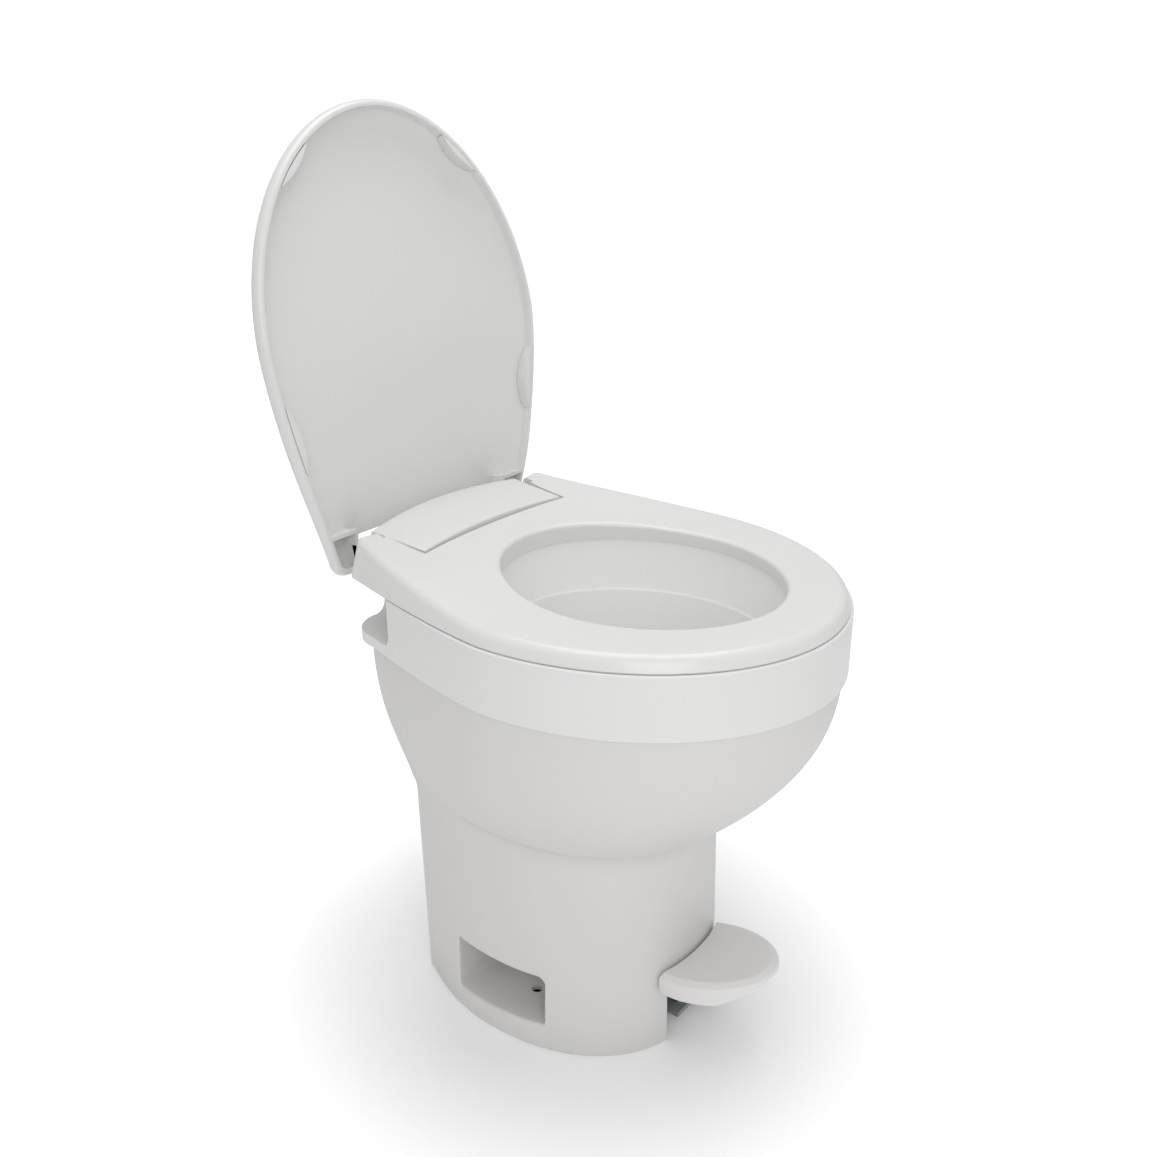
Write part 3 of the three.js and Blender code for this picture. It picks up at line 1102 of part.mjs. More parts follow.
function seatSolid(inset, bottom, drop) {
  const height = (x, y) => seatTop(x, y) - drop;
  const rings = [
    seatRing(bottom, inset + (drop ? 0 : SEAT_LOWER_ROUND)),
    seatRing(Math.max(bottom, SEAT_BOTTOM) + SEAT_LOWER_ROUND, inset),
    seatRing((x, y) => height(x, y) - SEAT_EDGE_ROUND, inset),
    seatRing((x, y) => height(x, y) - SEAT_EDGE_ROUND * ROUND_SHARE, inset + SEAT_EDGE_ROUND * ROUND_SHARE),
    seatRing(height, inset + SEAT_EDGE_ROUND),
  ];
  for (const ringInset of SEAT_RING_INSETS) rings.push(planRing(seatPlan, height, ringInset));
  return loft(rings);
}

function seatHole(grow) {
  return loft([
    ovalRing(holeOval, SEAT_BOTTOM - OVERRUN, -grow),
    ovalRing(holeOval, (x, y) => seatTop(x, y) - HOLE_EDGE_ROUND, -grow),
    ovalRing(holeOval, (x, y) => seatTop(x, y) - HOLE_EDGE_ROUND * ROUND_SHARE,
      -grow - HOLE_EDGE_ROUND * ROUND_SHARE),
    ovalRing(holeOval, (x, y) => seatTop(x, y), -grow - HOLE_EDGE_ROUND),
    ovalRing(holeOval, SEAT_TOP_REAR + OVERRUN, -grow - HOLE_EDGE_ROUND),
  ]);
}

function seatNotch(grow) {
  const outline = panelOutline(PANEL_GAP + grow, LID_REAR_Y + OVERRUN)
    .map(([x, y]) => new THREE.Vector2(x, y));
  const geometry = new THREE.ExtrudeGeometry(new THREE.Shape(outline), {
    depth: SEAT_TOP_REAR - SEAT_BOTTOM + 2 * OVERRUN, bevelEnabled: false,
  });
  geometry.translate(0, 0, SEAT_BOTTOM - OVERRUN);
  return orientedSolid(geometry);
}

// What is taken off the lower rear edge to round it about the middle of the radius
function earRounding(radius) {
  const middleY = SEAT_REAR_Y - EAR_ROUND;
  const corner = box(-SEAT_WIDTH, SEAT_WIDTH, middleY, LID_REAR_Y, SEAT_BOTTOM - OVERRUN, HINGE_Z);
  return cut(corner, rod(-SEAT_WIDTH - OVERRUN, SEAT_WIDTH + OVERRUN, middleY, HINGE_Z, radius));
}

// The way for the lid's arm at the inner side of an ear
function armSlot(side, grow) {
  const [x0, x1] = sideSpan(side, LID_ARM_INNER_X - ARM_SLOT_INNER_GAP,
    LID_ARM_OUTER_X + ARM_SLOT_OUTER_GAP + grow);
  return box(x0, x1, ARM_SLOT_FRONT_Y - grow, LID_REAR_Y, SEAT_BOTTOM - OVERRUN, SEAT_TOP_REAR + OVERRUN);
}

function buildSeat() {
  const hollow = cut(seatSolid(SEAT_WALL, SEAT_BOTTOM - OVERRUN, SEAT_WALL), seatHole(SEAT_WALL),
    seatNotch(SEAT_WALL), earRounding(EAR_ROUND - SEAT_WALL), armSlot(-1, SEAT_WALL), armSlot(1, SEAT_WALL));
  let seat = cut(seatSolid(0, SEAT_BOTTOM, 0), seatHole(0), seatNotch(0), earRounding(EAR_ROUND), hollow);
  for (const side of [-1, 1]) {
    const [x0, x1] = sideSpan(side, KNUCKLE_INNER_X, KNUCKLE_OUTER_X);
    seat = union(cut(seat, armSlot(side, 0)), rod(x0, x1, HINGE_Y, HINGE_Z, KNUCKLE_RADIUS));
    seat = cut(seat, rod(x0 - JOIN_OVERLAP, x1 + JOIN_OVERLAP, HINGE_Y, HINGE_Z,
      HINGE_PIN_RADIUS + BEARING_GAP));
  }
  return seat;
}

addPiece('seat_shell', toGeometry(buildSeat()), plastic(COLOURS.seat, 0.2));

const underplateBottom = SEAT_BOTTOM + UNDERPLATE_RECESS;
const plateInset = SEAT_WALL + 2 * RUNNING_GAP;
const underplate = cut(
  loft([seatRing(underplateBottom, plateInset),
    seatRing(underplateBottom + UNDERPLATE_THICKNESS, plateInset)]),
  seatHole(plateInset), seatNotch(plateInset), armSlot(-1, plateInset), armSlot(1, plateInset),
  box(-SEAT_WIDTH, SEAT_WIDTH, UNDERPLATE_REAR_Y, LID_REAR_Y, SEAT_BOTTOM, SEAT_HEIGHT),
);
addPiece('seat_underplate', toGeometry(underplate), plastic(COLOURS.seat, 0.4));

let bumperNumber = 0;
for (const [acrossShare, alongShare] of SEAT_BUMPER_SHARES) {
  for (const side of [-1, 1]) {
    bumperNumber += 1;
    addPiece(`seat_bumper_${bumperNumber}`, toGeometry(post(side * acrossShare * SEAT_WIDTH / 2,
      alongShare * SEAT_FRONT_REACH, RIM_TOP + TOUCH_GAP, underplateBottom - TOUCH_GAP, BUMPER_RADIUS,
      BUMPER_SEGMENTS)), plastic(COLOURS.rubber, 0.8));
  }
}

// Lid, built closed over the seat and then turned open about the hinge

const LID_MIDDLE_CUT_Y = 198.5;
const LID_RIB_Y = 188.5;
const LID_RIB_WIDTH = 3.5;
const LID_ARM_RADIUS = 9.5;
const LID_ARM_JOIN = 3;
const LID_DISH_INSET = 22;
const LID_CROWN_WIDTH = 70;
const LID_ROOF_INSETS = [12, 26, 46, 72, 100];
// Shares of the edge's depth: height above the lip, then distance in from the lid's outline
const LID_NOSE_SHARES = [[0, 0.286], [0.107, 0.129], [0.286, 0.029], [0.5, 0], [0.714, 0.071], [0.893, 0.229],
  [1, 0.464]];
const LID_FOOT_SHARES = [[0.607, 0.5], [0.714, 0.557], [0.786, 0.714]];
const LID_PAD_SETBACK = 0.5;
const LID_PAD_REACH = 6;
const LID_PAD_ROUND = 63;
const LID_PAD_SEGMENTS = 64;
// The lid pads' places, as shares likewise
const LID_PAD_SHARES = [[0.57, -0.6285], [0.87, 0.41]];

function lidLip(x, y) {
  return SEAT_HEIGHT + seatEdgeRise(y) + LID_SEAT_GAP;
}

function lidRoof(inset) {
  const crown = LID_CROWN * (1 - (1 - Math.min(inset, LID_CROWN_WIDTH) / LID_CROWN_WIDTH) ** 2);
  return (x, y) => lidLip(x, y) + LID_EDGE_DEPTH + crown;
}

function aboveLip(height) {
  return (x, y) => lidLip(x, y) + height;
}

function underRoof(inset, gap = 0) {
  return (x, y) => lidRoof(inset)(x, y) - LID_WALL - gap;
}

function lidOuter() {
  const rings = LID_NOSE_SHARES.map(([up, inwards]) => (
    planRing(lidPlan, aboveLip(LID_EDGE_DEPTH * up), LID_EDGE_DEPTH * inwards)));
  for (const inset of LID_ROOF_INSETS) rings.push(planRing(lidPlan, lidRoof(inset), inset));
  return loft(rings);
}

// The lid's inside from the lip up the edge's inner wall and over the dish; gap draws it in all round
function lidInner(bottom, gap) {
  const rings = [planRing(lidPlan, bottom, LID_LIP_WIDTH + gap)];
  for (const [up, inwards] of LID_FOOT_SHARES) {
    rings.push(planRing(lidPlan, aboveLip(LID_EDGE_DEPTH * up - gap), LID_EDGE_DEPTH * inwards + gap));
  }
  rings.push(planRing(lidPlan, underRoof(LID_DISH_INSET, gap), LID_DISH_INSET));
  for (const inset of LID_ROOF_INSETS.filter((value) => value > LID_DISH_INSET)) {
    rings.push(planRing(lidPlan, underRoof(inset, gap), inset));
  }
  return loft(rings);
}

function buildLid() {
  const rear = LID_REAR_Y + OVERRUN;
  const top = SEAT_TOP_REAR + LID_EDGE_DEPTH + LID_CROWN + OVERRUN;
  let hollow = lidInner(SEAT_BOTTOM - OVERRUN, 0);
  for (const side of [-1, 1]) {
    const armSpan = sideSpan(side, LID_ARM_INNER_X, LID_ARM_OUTER_X);
    const ribSpan = sideSpan(side, LID_ARM_INNER_X, SEAT_WIDTH);
    hollow = cut(hollow, box(...armSpan, LID_RIB_Y, rear, SEAT_BOTTOM, top),
      box(...ribSpan, LID_RIB_Y, LID_RIB_Y + LID_RIB_WIDTH, SEAT_BOTTOM, top));
  }
  let lid = cut(lidOuter(), hollow);
  lid = cut(lid, box(-LID_ARM_INNER_X, LID_ARM_INNER_X, LID_MIDDLE_CUT_Y, rear, SEAT_BOTTOM - OVERRUN, top));
  const armTop = SEAT_TOP_REAR + LID_SEAT_GAP + LID_ARM_JOIN;
  for (const side of [-1, 1]) {
    const [x0, x1] = sideSpan(side, LID_ARM_INNER_X, LID_ARM_OUTER_X);
    lid = union(lid, rod(x0, x1, HINGE_Y, HINGE_Z, LID_ARM_RADIUS),
      box(x0, x1, HINGE_Y - LID_ARM_RADIUS, SEAT_REAR_Y, HINGE_Z, armTop));
    lid = cut(lid, rod(x0 - JOIN_OVERLAP, x1 + JOIN_OVERLAP, HINGE_Y, HINGE_Z,
      HINGE_PIN_RADIUS + BEARING_GAP));
  }
  return lid;
}

const lidGroup = new THREE.Group();
lidGroup.position.set(0, HINGE_Y, HINGE_Z);
lidGroup.rotation.x = -LID_OPEN_ANGLE * DEG;
assembly.add(lidGroup);

function addLidPiece(name, solid, material) {
  const mesh = addPiece(name, toGeometry(solid), material, lidGroup);
  mesh.position.set(0, -HINGE_Y, -HINGE_Z);
}

addLidPiece('lid_shell', buildLid(), plastic(COLOURS.seat, 0.2));

// A boss that stands from the dish to the level of the lip, against the edge's inner wall
function buildLidPad(side, x, y) {
  const outward = new THREE.Vector2(side * x / lidPlan.halfWidth ** 2,
    (y - SEAT_CENTRE_Y) / lidPlan.frontReach ** 2).normalize();
  const area = lidInner(lidLip, TOUCH_GAP + LID_PAD_SETBACK);
  const centre = outward.multiplyScalar(LID_PAD_ROUND - LID_PAD_REACH).add(new THREE.Vector2(side * x, y));
  return area.intersect(post(centre.x, centre.y, SEAT_BOTTOM, SEAT_TOP_REAR + LID_EDGE_DEPTH + LID_CROWN,
    LID_PAD_ROUND, LID_PAD_SEGMENTS));
}

let padNumber = 0;
for (const [acrossShare, alongShare] of LID_PAD_SHARES) {
  for (const side of [-1, 1]) {
    padNumber += 1;
    const pad = buildLidPad(side, acrossShare * SEAT_WIDTH / 2, alongShare * SEAT_FRONT_REACH);
    addLidPiece(`lid_pad_${padNumber}`, pad, plastic(COLOURS.pad, 0.3));
  }
}

// The origin goes to the middle of the footprint, on the floor
const extent = new THREE.Box3().setFromObject(toilet, true);
assembly.position.set(-(extent.min.x + extent.max.x) / 2, -(extent.min.y + extent.max.y) / 2, -extent.min.z);
toilet.updateMatrixWorld(true);

export default toilet;
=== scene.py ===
"""The visible skins of a pedal-flush RV toilet, modelled round its CAD frame, with materials and a studio."""

import json
import math

import bmesh
import bpy
from bpy.props import FloatProperty, FloatVectorProperty, IntProperty, PointerProperty
from bpy.types import Operator, Panel, PropertyGroup
from mathutils import Matrix, Vector


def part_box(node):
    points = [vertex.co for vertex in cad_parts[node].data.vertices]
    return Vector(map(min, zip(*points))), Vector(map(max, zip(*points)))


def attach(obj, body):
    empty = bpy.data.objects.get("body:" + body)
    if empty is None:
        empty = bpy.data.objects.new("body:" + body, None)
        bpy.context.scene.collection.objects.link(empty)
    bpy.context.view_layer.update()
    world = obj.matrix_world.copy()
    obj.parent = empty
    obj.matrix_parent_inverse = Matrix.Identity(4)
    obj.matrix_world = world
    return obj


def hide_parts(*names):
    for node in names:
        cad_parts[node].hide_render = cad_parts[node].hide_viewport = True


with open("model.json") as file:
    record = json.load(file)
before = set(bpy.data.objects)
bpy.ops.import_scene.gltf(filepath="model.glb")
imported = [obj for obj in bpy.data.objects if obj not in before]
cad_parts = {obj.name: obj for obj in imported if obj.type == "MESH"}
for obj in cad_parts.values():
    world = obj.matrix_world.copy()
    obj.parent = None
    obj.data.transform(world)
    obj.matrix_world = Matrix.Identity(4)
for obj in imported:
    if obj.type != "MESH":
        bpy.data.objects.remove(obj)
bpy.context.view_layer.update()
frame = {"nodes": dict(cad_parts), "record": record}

bl_info = {
    "name": "RV toilet",
    "version": (1, 0, 0),
    "blender": (4, 5, 0),
    "location": "3D View > Sidebar > RV toilet",
    "description": "Builds the pedestal, rim, bowl, seat, lid and pedal of an RV toilet",
    "category": "Object",
}

MM = 0.001
BAND_REAR = 214 * MM
# The frame's origin is the middle of the whole toilet; the sizes below count from the seat's own middle
SHIFT = Vector((0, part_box("rim_band")[1].y - BAND_REAR, 0))


def length(name, millimetres, description):
    """A size that a user may set, with its default in metres."""
    return FloatProperty(name=name, description=description, default=millimetres * MM, unit="LENGTH")


def linear(hex_value):
    """An sRGB hex colour as linear red, green, blue and alpha."""
    parts = [int(hex_value[i : i + 2], 16) / 255 for i in (1, 3, 5)]
    return [c / 12.92 if c <= 0.04045 else ((c + 0.055) / 1.055) ** 2.4 for c in parts] + [1.0]


def colour(name, hex_value, description):
    """A colour that a user may set."""
    return FloatVectorProperty(
        name=name, description=description, default=linear(hex_value), size=4, subtype="COLOR", min=0, max=1
    )


class ToiletSizes(PropertyGroup):
    """The sizes of the toilet's visible skins."""

    seat_height: length("Seat height", 457, "Top of the seat in front, above the floor")
    seat_width: length("Seat width", 369, "Widest measure of the seat")
    seat_front: length("Seat front", 214, "From the seat's middle to its front edge")
    seat_middle: length("Seat middle", 21, "Where the seat is widest")
    seat_rear: length("Seat rear", 216, "Rear edge of the seat")
    seat_rear_width: length("Seat rear width", 288, "Width of the seat at its rear edge")
    seat_corner: length("Seat corner", 12, "Radius of the seat's rear corners")
    seat_thickness: length("Seat thickness", 13, "Height of the seat's side in front")
    seat_rise: length("Seat rise", 19.2, "How much the seat's edge rises to the rear")
    seat_rise_start: length("Seat rise start", 30, "Where the seat begins to rise")
    seat_lift: length("Seat lift", 5.1, "How much more its rear corners turn up")
    seat_lift_start: length("Seat lift start", 150, "Where the rear corners begin to turn up")
    seat_round: length("Seat edge radius", 6, "Rounding of the seat's outer edge")
    seat_wall: length("Seat wall", 3.5, "Wall of the hollow seat")
    hole_width: length("Hole width", 228, "Width of the seat's opening")
    hole_front: length("Hole front", 128, "Opening's reach to the front")
    hole_rear: length("Hole rear", 137, "Opening's reach to the rear")
    hole_middle: length("Hole middle", -11, "Where the opening is widest")
    hole_round: length("Hole edge radius", 4, "Rounding of the opening's edge")
    band_height: length("Rim height", 57, "Height of the rim's skirt")
    band_outset: length("Rim outset", 2.2, "How far the rim stands out past the seat")
    band_rear_width: length("Rim rear width", 299.4, "Width of the rim at its rear")
    band_corner: length("Rim corner", 34, "Radius of the rim's rear corners")
    band_wall: length("Rim wall", 3.5, "Wall of the rim")
    shelf_drop: length("Shelf drop", 46, "How far the rear shelves lie below the rim's top")
    shelf_start: length("Shelf start", 150, "Where the rear shelves begin")
    deck_width: length("Deck width", 200, "Width of the hinge deck between the shelves")
    base_width: length("Base width", 253, "Widest measure of the pedestal at the floor")
    base_front: length("Base front", 151, "Base's reach to the front")
    base_middle: length("Base middle", 71.6, "Where the base is widest")
    base_rear: length("Base rear", 188, "Rear face of the base")
    base_rear_width: length("Base rear width", 194, "Width of the base at its rear face")
    base_corner: length("Base corner", 12, "Radius of the base's rear corners")
    neck_rear_width: length("Neck rear width", 207, "Width of the rear face at the neck")
    neck_height: length("Neck height", 214, "Height of the crease under the bowl")
    body_rear: length("Body rear", 206.5, "Rear face of the pedestal under the rim")
    body_rear_width: length("Body rear width", 288, "Width of the pedestal's rear under the rim")
    shell_wall: length("Shell wall", 4, "Wall of the pedestal")
    outlet_y: length("Outlet place", 56, "Where the waste outlet goes down")
    lid_inset: length("Lid inset", 7, "How far the lid lies inside the seat's edge")
    lid_depth: length("Lid edge depth", 14, "Depth of the lid's upright edge")
    lid_crown: length("Lid crown", 11.9, "How far the lid's middle stands above its edge")
    lid_wall: length("Lid wall", 3.5, "Wall of the lid")
    lid_lip: length("Lid lip", 6.5, "From the lid's outline to the inner edge of its lip")
    lid_gap: length("Lid gap", 1.5, "Space between the seat and the closed lid's lip")
    lid_rear: length("Lid rear", 229.5, "Rear edge of the lid")
    lid_rear_width: length("Lid rear width", 265.2, "Width of the lid at its rear edge")
    lid_corner: length("Lid corner", 15, "Radius of the lid's rear corners")
    hinge_y: length("Hinge place", 213, "Hinge axis from the seat's middle")
    hinge_z: length("Hinge height", 454, "Hinge axis above the floor")
    pivot_y: length("Pedal pivot place", -30, "Pedal's axis from the seat's middle")
    pivot_z: length("Pedal pivot height", 66, "Pedal's axis above the floor")
    ring_points: IntProperty(name="Outline steps", description="Points on each quarter of a front", default=36)


class ToiletColours(PropertyGroup):
    """The colours of the toilet's finishes."""

    body: colour("Body", "#D9D8D7", "Satin moulded plastic of the pedestal")
    # Lighter than the body: painted light for the pedal's top, which lies in shade under the bowl
    pedal: colour("Pedal", "#E5E4E3", "Satin moulded plastic of the pedal")
    # Lighter than the body: painted light, so the rim stands brighter than the shaded pedestal under it
    rim: colour("Rim", "#E3E3E2", "Glossy moulded plastic of the rim")
    seat: colour("Seat", "#DFDFDE", "Glossy moulded plastic of the seat and lid")
    # Lightened past the other mouldings: painted light for the bowl's shaded inside
    bowl: colour("Bowl", "#F3F3F2", "Glossy moulded plastic of the bowl")
    # Mid grey, lighter than the valve's own dark grey: painted shade, the tone of the shadow under the pedal
    valve: colour("Valve", "#8B8D8F", "Grey moulded plastic of the hidden valve")
    gear: colour("Gears", "#D3CDBD", "Natural acetal")
    rubber: colour("Rubber", "#2A2A2B", "Moulded black rubber")
    steel: colour("Steel", "#C4C5C6", "Plain stainless steel")
    brass: colour("Brass", "#C9A45C", "Turned brass")
    hose: colour("Hose", "#C9CCCC", "Drawn polythene hose")
    floor: colour("Floor", "#FFFFFF", "Studio floor")


# Materials


def add_node(tree, kind, settings=None, links=None):
    """One node, with its properties or input values, and links from earlier nodes' outputs."""
    node = tree.nodes.new(kind)
    for key, value in (settings or {}).items():
        if isinstance(key, str) and hasattr(node, key):
            setattr(node, key, value)
        else:
            node.inputs[key].default_value = value
    for key, source in (links or {}).items():
        tree.links.new(source, node.inputs[key])
    return node


def new_material(name):
    """An empty node material with its output."""
    material = bpy.data.materials.new(name)
    material.use_nodes = True
    material.node_tree.nodes.clear()
    return material, material.node_tree, material.node_tree.nodes.new("ShaderNodeOutputMaterial")


def moulded(name, tone, roughness, grain, relief, mottle=0.012, coat=0.0, flow=0.0):
    """Injection-moulded plastic: fine die texture, a faint cloud of colour and slightly uneven gloss."""
    material, tree, output = new_material(name)
    place = add_node(tree, "ShaderNodeTexCoord").outputs["Object"]
    cloud = add_node(tree, "ShaderNodeTexNoise", {"Scale": 9.0, "Detail": 3.0}, {"Vector": place})
    light = [min(1.0, c * (1 + mottle)) for c in tone[:3]] + [1]
    dark = [c * (1 - mottle) for c in tone[:3]] + [1]
    blend = add_node(
        tree, "ShaderNodeMix", {"data_type": "RGBA", 6: dark, 7: light}, {0: cloud.outputs["Fac"]}
    )
    gloss = add_node(
        tree, "ShaderNodeMapRange", {"To Min": roughness * 0.88, "To Max": roughness * 1.12},
        {"Value": cloud.outputs["Fac"]},
    )
    skin = add_node(tree, "ShaderNodeTexNoise", {"Scale": 1 / grain, "Detail": 2.0}, {"Vector": place})
    bump = add_node(
        tree, "ShaderNodeBump", {"Strength": 0.35, "Distance": relief}, {"Height": skin.outputs["Fac"]}
    )
    if flow:
        wave = add_node(tree, "ShaderNodeTexNoise", {"Scale": 26.0, "Detail": 1.0}, {"Vector": place})
        bump = add_node(
            tree, "ShaderNodeBump", {"Strength": 0.25, "Distance": flow},
            {"Height": wave.outputs["Fac"], "Normal": bump.outputs["Normal"]},
        )
    shader = add_node(
        tree, "ShaderNodeBsdfPrincipled", {"IOR": 1.49, "Coat Weight": coat, "Coat Roughness": 0.08},
        {"Base Color": blend.outputs[2], "Roughness": gloss.outputs[0], "Normal": bump.outputs["Normal"]},
    )
    tree.links.new(shader.outputs[0], output.inputs["Surface"])
    return material


def machined(name, tone, roughness, grain):
    """Turned or drawn metal: bright, with fine lines left by the tool."""
    material, tree, output = new_material(name)
    place = add_node(tree, "ShaderNodeTexCoord").outputs["Object"]
    lines = add_node(tree, "ShaderNodeTexNoise", {"Scale": 1 / grain, "Detail": 2.0}, {"Vector": place})
    gloss = add_node(
        tree, "ShaderNodeMapRange", {"To Min": roughness * 0.7, "To Max": roughness * 1.3},
        {"Value": lines.outputs["Fac"]},
    )
    bump = add_node(
        tree, "ShaderNodeBump", {"Strength": 0.2, "Distance": 0.02 * MM}, {"Height": lines.outputs["Fac"]}
    )
    shader = add_node(
        tree, "ShaderNodeBsdfPrincipled", {"Metallic": 1.0, "Base Color": tone},
        {"Roughness": gloss.outputs[0], "Normal": bump.outputs["Normal"]},
    )
    tree.links.new(shader.outputs[0], output.inputs["Surface"])
    return material


def make_materials(colours):
    """Every finish of the toilet, by the name of the record's material slot."""
    return {
        # Polypropylene from a spark-eroded mould: satin, so lights spread into soft patches
        "body_plastic": moulded("satin_polypropylene_moulded", colours.body, 0.42, 0.7 * MM, 0.03 * MM),
        # Polypropylene from a polished mould: glossy, with clear narrow highlights on the edges
        "seat_plastic": moulded(
            "gloss_polypropylene_moulded", colours.seat, 0.24, 1.1 * MM, 0.008 * MM, flow=0.12 * MM
        ),
        # Satin polypropylene in a lighter copy of the pedestal's colour: painted light, which brightens the
        # pedal's top where it lies in shade under the bowl
        "pedal_satin_painted_light": moulded("satin_polypropylene_pedal_painted_light", colours.pedal, 0.42, 0.7 * MM, 0.03 * MM),
        # Polypropylene from a polished mould; its colour is a lighter copy of the pedestal's, painted light
        # that sets the rim brighter than the shaded pedestal under its overhang
        "rim_gloss_painted_light": moulded("gloss_polypropylene_rim_painted_light", colours.rim, 0.28, 0.9 * MM, 0.01 * MM),
        # Glossy plastic, lightened past the other mouldings: painted light that brightens the bowl's shaded
        # inside
        "bowl_plastic": moulded("gloss_bowl_plastic_painted_light", colours.bowl, 0.22, 1.1 * MM, 0.008 * MM),
        # Glass-filled polypropylene: dull, with a coarse skin; its mid grey is painted shade, lighter than the
        # valve's own dark grey, so that the corner seen under the pedal takes the tone of the shadow there
        "valve_plastic": moulded("glass_filled_polypropylene_painted_shade", colours.valve, 0.55, 0.5 * MM, 0.05 * MM, 0.05),
        # Acetal: milky and a little waxy
        "gear_plastic": moulded("natural_acetal_moulded", colours.gear, 0.38, 0.8 * MM, 0.02 * MM),
        # Nitrile rubber: near black and matt
        "rubber": moulded("nitrile_rubber_moulded", colours.rubber, 0.7, 0.4 * MM, 0.04 * MM, 0.08),
        "steel": machined("stainless_steel_drawn", colours.steel, 0.28, 0.6 * MM),
        "brass": machined("brass_turned", colours.brass, 0.25, 0.5 * MM),
        "hose_plastic": moulded("polythene_hose_drawn", colours.hose, 0.4, 0.9 * MM, 0.02 * MM),
    }


# Mesh building


def clear_selection():
    """Nothing stays selected, so that an operator acts on the new piece alone."""
    if bpy.context.object and bpy.context.object.mode != "OBJECT":
        bpy.ops.object.mode_set(mode="OBJECT")
    bpy.ops.object.select_all(action="DESELECT")


def choose(piece):
    """Only this piece is selected and active."""
    clear_selection()
    piece.select_set(True)
    bpy.context.view_layer.objects.active = piece


def skin(name, rings, closed=False):
    """A circle, extruded once for each outline and set on it, with two caps or joined up where closed."""
    clear_selection()
    bpy.ops.mesh.primitive_circle_add(vertices=len(rings[0]), radius=1)
    piece = bpy.context.object
    piece.name = piece.data.name = name
    bpy.ops.object.mode_set(mode="EDIT")
    mesh = bmesh.from_edit_mesh(piece.data)
    order = mesh.verts.layers.int.new("order")
    for index, vertex in enumerate(mesh.verts):
        vertex[order] = index
        vertex.co = rings[0][index]
    if not closed:
        bpy.ops.mesh.edge_face_add()
        bpy.ops.mesh.select_mode(type="EDGE")
        bpy.ops.mesh.select_all(action="SELECT")
    for ring in rings[1:]:
        bpy.ops.mesh.extrude_edges_move()
        mesh = bmesh.from_edit_mesh(piece.data)
        order = mesh.verts.layers.int["order"]
        for vertex in mesh.verts:
            if vertex.select:
                vertex.co = ring[vertex[order]]
    if not closed:
        bpy.ops.mesh.edge_face_add()
    bpy.ops.mesh.select_mode(type="VERT")
    bpy.ops.mesh.select_all(action="SELECT")
    bpy.ops.mesh.remove_doubles(threshold=0.005 * MM)
    bpy.ops.mesh.normals_make_consistent(inside=False)
    bpy.ops.object.mode_set(mode="OBJECT")
    return piece


def block(x0, x1, y0, y1, z0, z1):
    """A box between two corners."""
    clear_selection()
    bpy.ops.mesh.primitive_cube_add(
        size=1, location=((x0 + x1) / 2, (y0 + y1) / 2, (z0 + z1) / 2),
        scale=(abs(x1 - x0), abs(y1 - y0), abs(z1 - z0)),
    )
    bpy.ops.object.transform_apply(location=True, rotation=True, scale=True)
    return bpy.context.object


def bar(start, end, radius, vertices=64):
    """A round bar between two points."""
    clear_selection()
    run = Vector(end) - Vector(start)
    bpy.ops.mesh.primitive_cylinder_add(
        vertices=vertices, radius=radius, depth=run.length, location=(Vector(start) + Vector(end)) / 2,
        rotation=run.to_track_quat("Z", "Y").to_euler(),
    )
    bpy.ops.object.transform_apply(location=True, rotation=True, scale=True)
    return bpy.context.object


def combine(piece, tool, how="DIFFERENCE"):
    """Cuts, joins or keeps what is shared with another solid, which is used up."""
    modifier = piece.modifiers.new("combine", "BOOLEAN")
    modifier.operation = how
    modifier.solver = "EXACT"
    modifier.object = tool
    choose(piece)
    bpy.ops.object.modifier_apply(modifier=modifier.name)
    bpy.data.objects.remove(tool)
    return piece


def cut(piece, *tools):
    """Cuts several solids out of a piece."""
    for tool in tools:
        combine(piece, tool)
    return piece


def turn(piece, degrees, pivot):
    """Turns a piece about a line along X."""
    pivot = Vector(pivot)
    piece.matrix_world = (
        Matrix.Translation(pivot) @ Matrix.Rotation(math.radians(degrees), 4, "X") @ Matrix.Translation(-pivot)
    )
    choose(piece)
    bpy.ops.object.transform_apply(location=True, rotation=True, scale=True)
    return piece


def settle(piece, body, slot, *nodes, angle=32, finish=None):
    """Puts a finished piece in the CAD frame, on its body, in its material, in place of its CAD nodes."""
    choose(piece)
    piece.location = SHIFT
    bpy.ops.object.transform_apply(location=True, rotation=True, scale=True)
    bpy.ops.object.shade_smooth_by_angle(angle=math.radians(angle))
    piece.data.materials.clear()
    piece.data.materials.append(finishes[finish or slot])
    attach(piece, body)
    if nodes:
        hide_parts(*nodes)
    return piece


finishes = {}


# Outlines, in the same forms as the solids


def height_at(height, x, y):
    """A height that is a number or a function of the place."""
    return height(x, y) if callable(height) else height


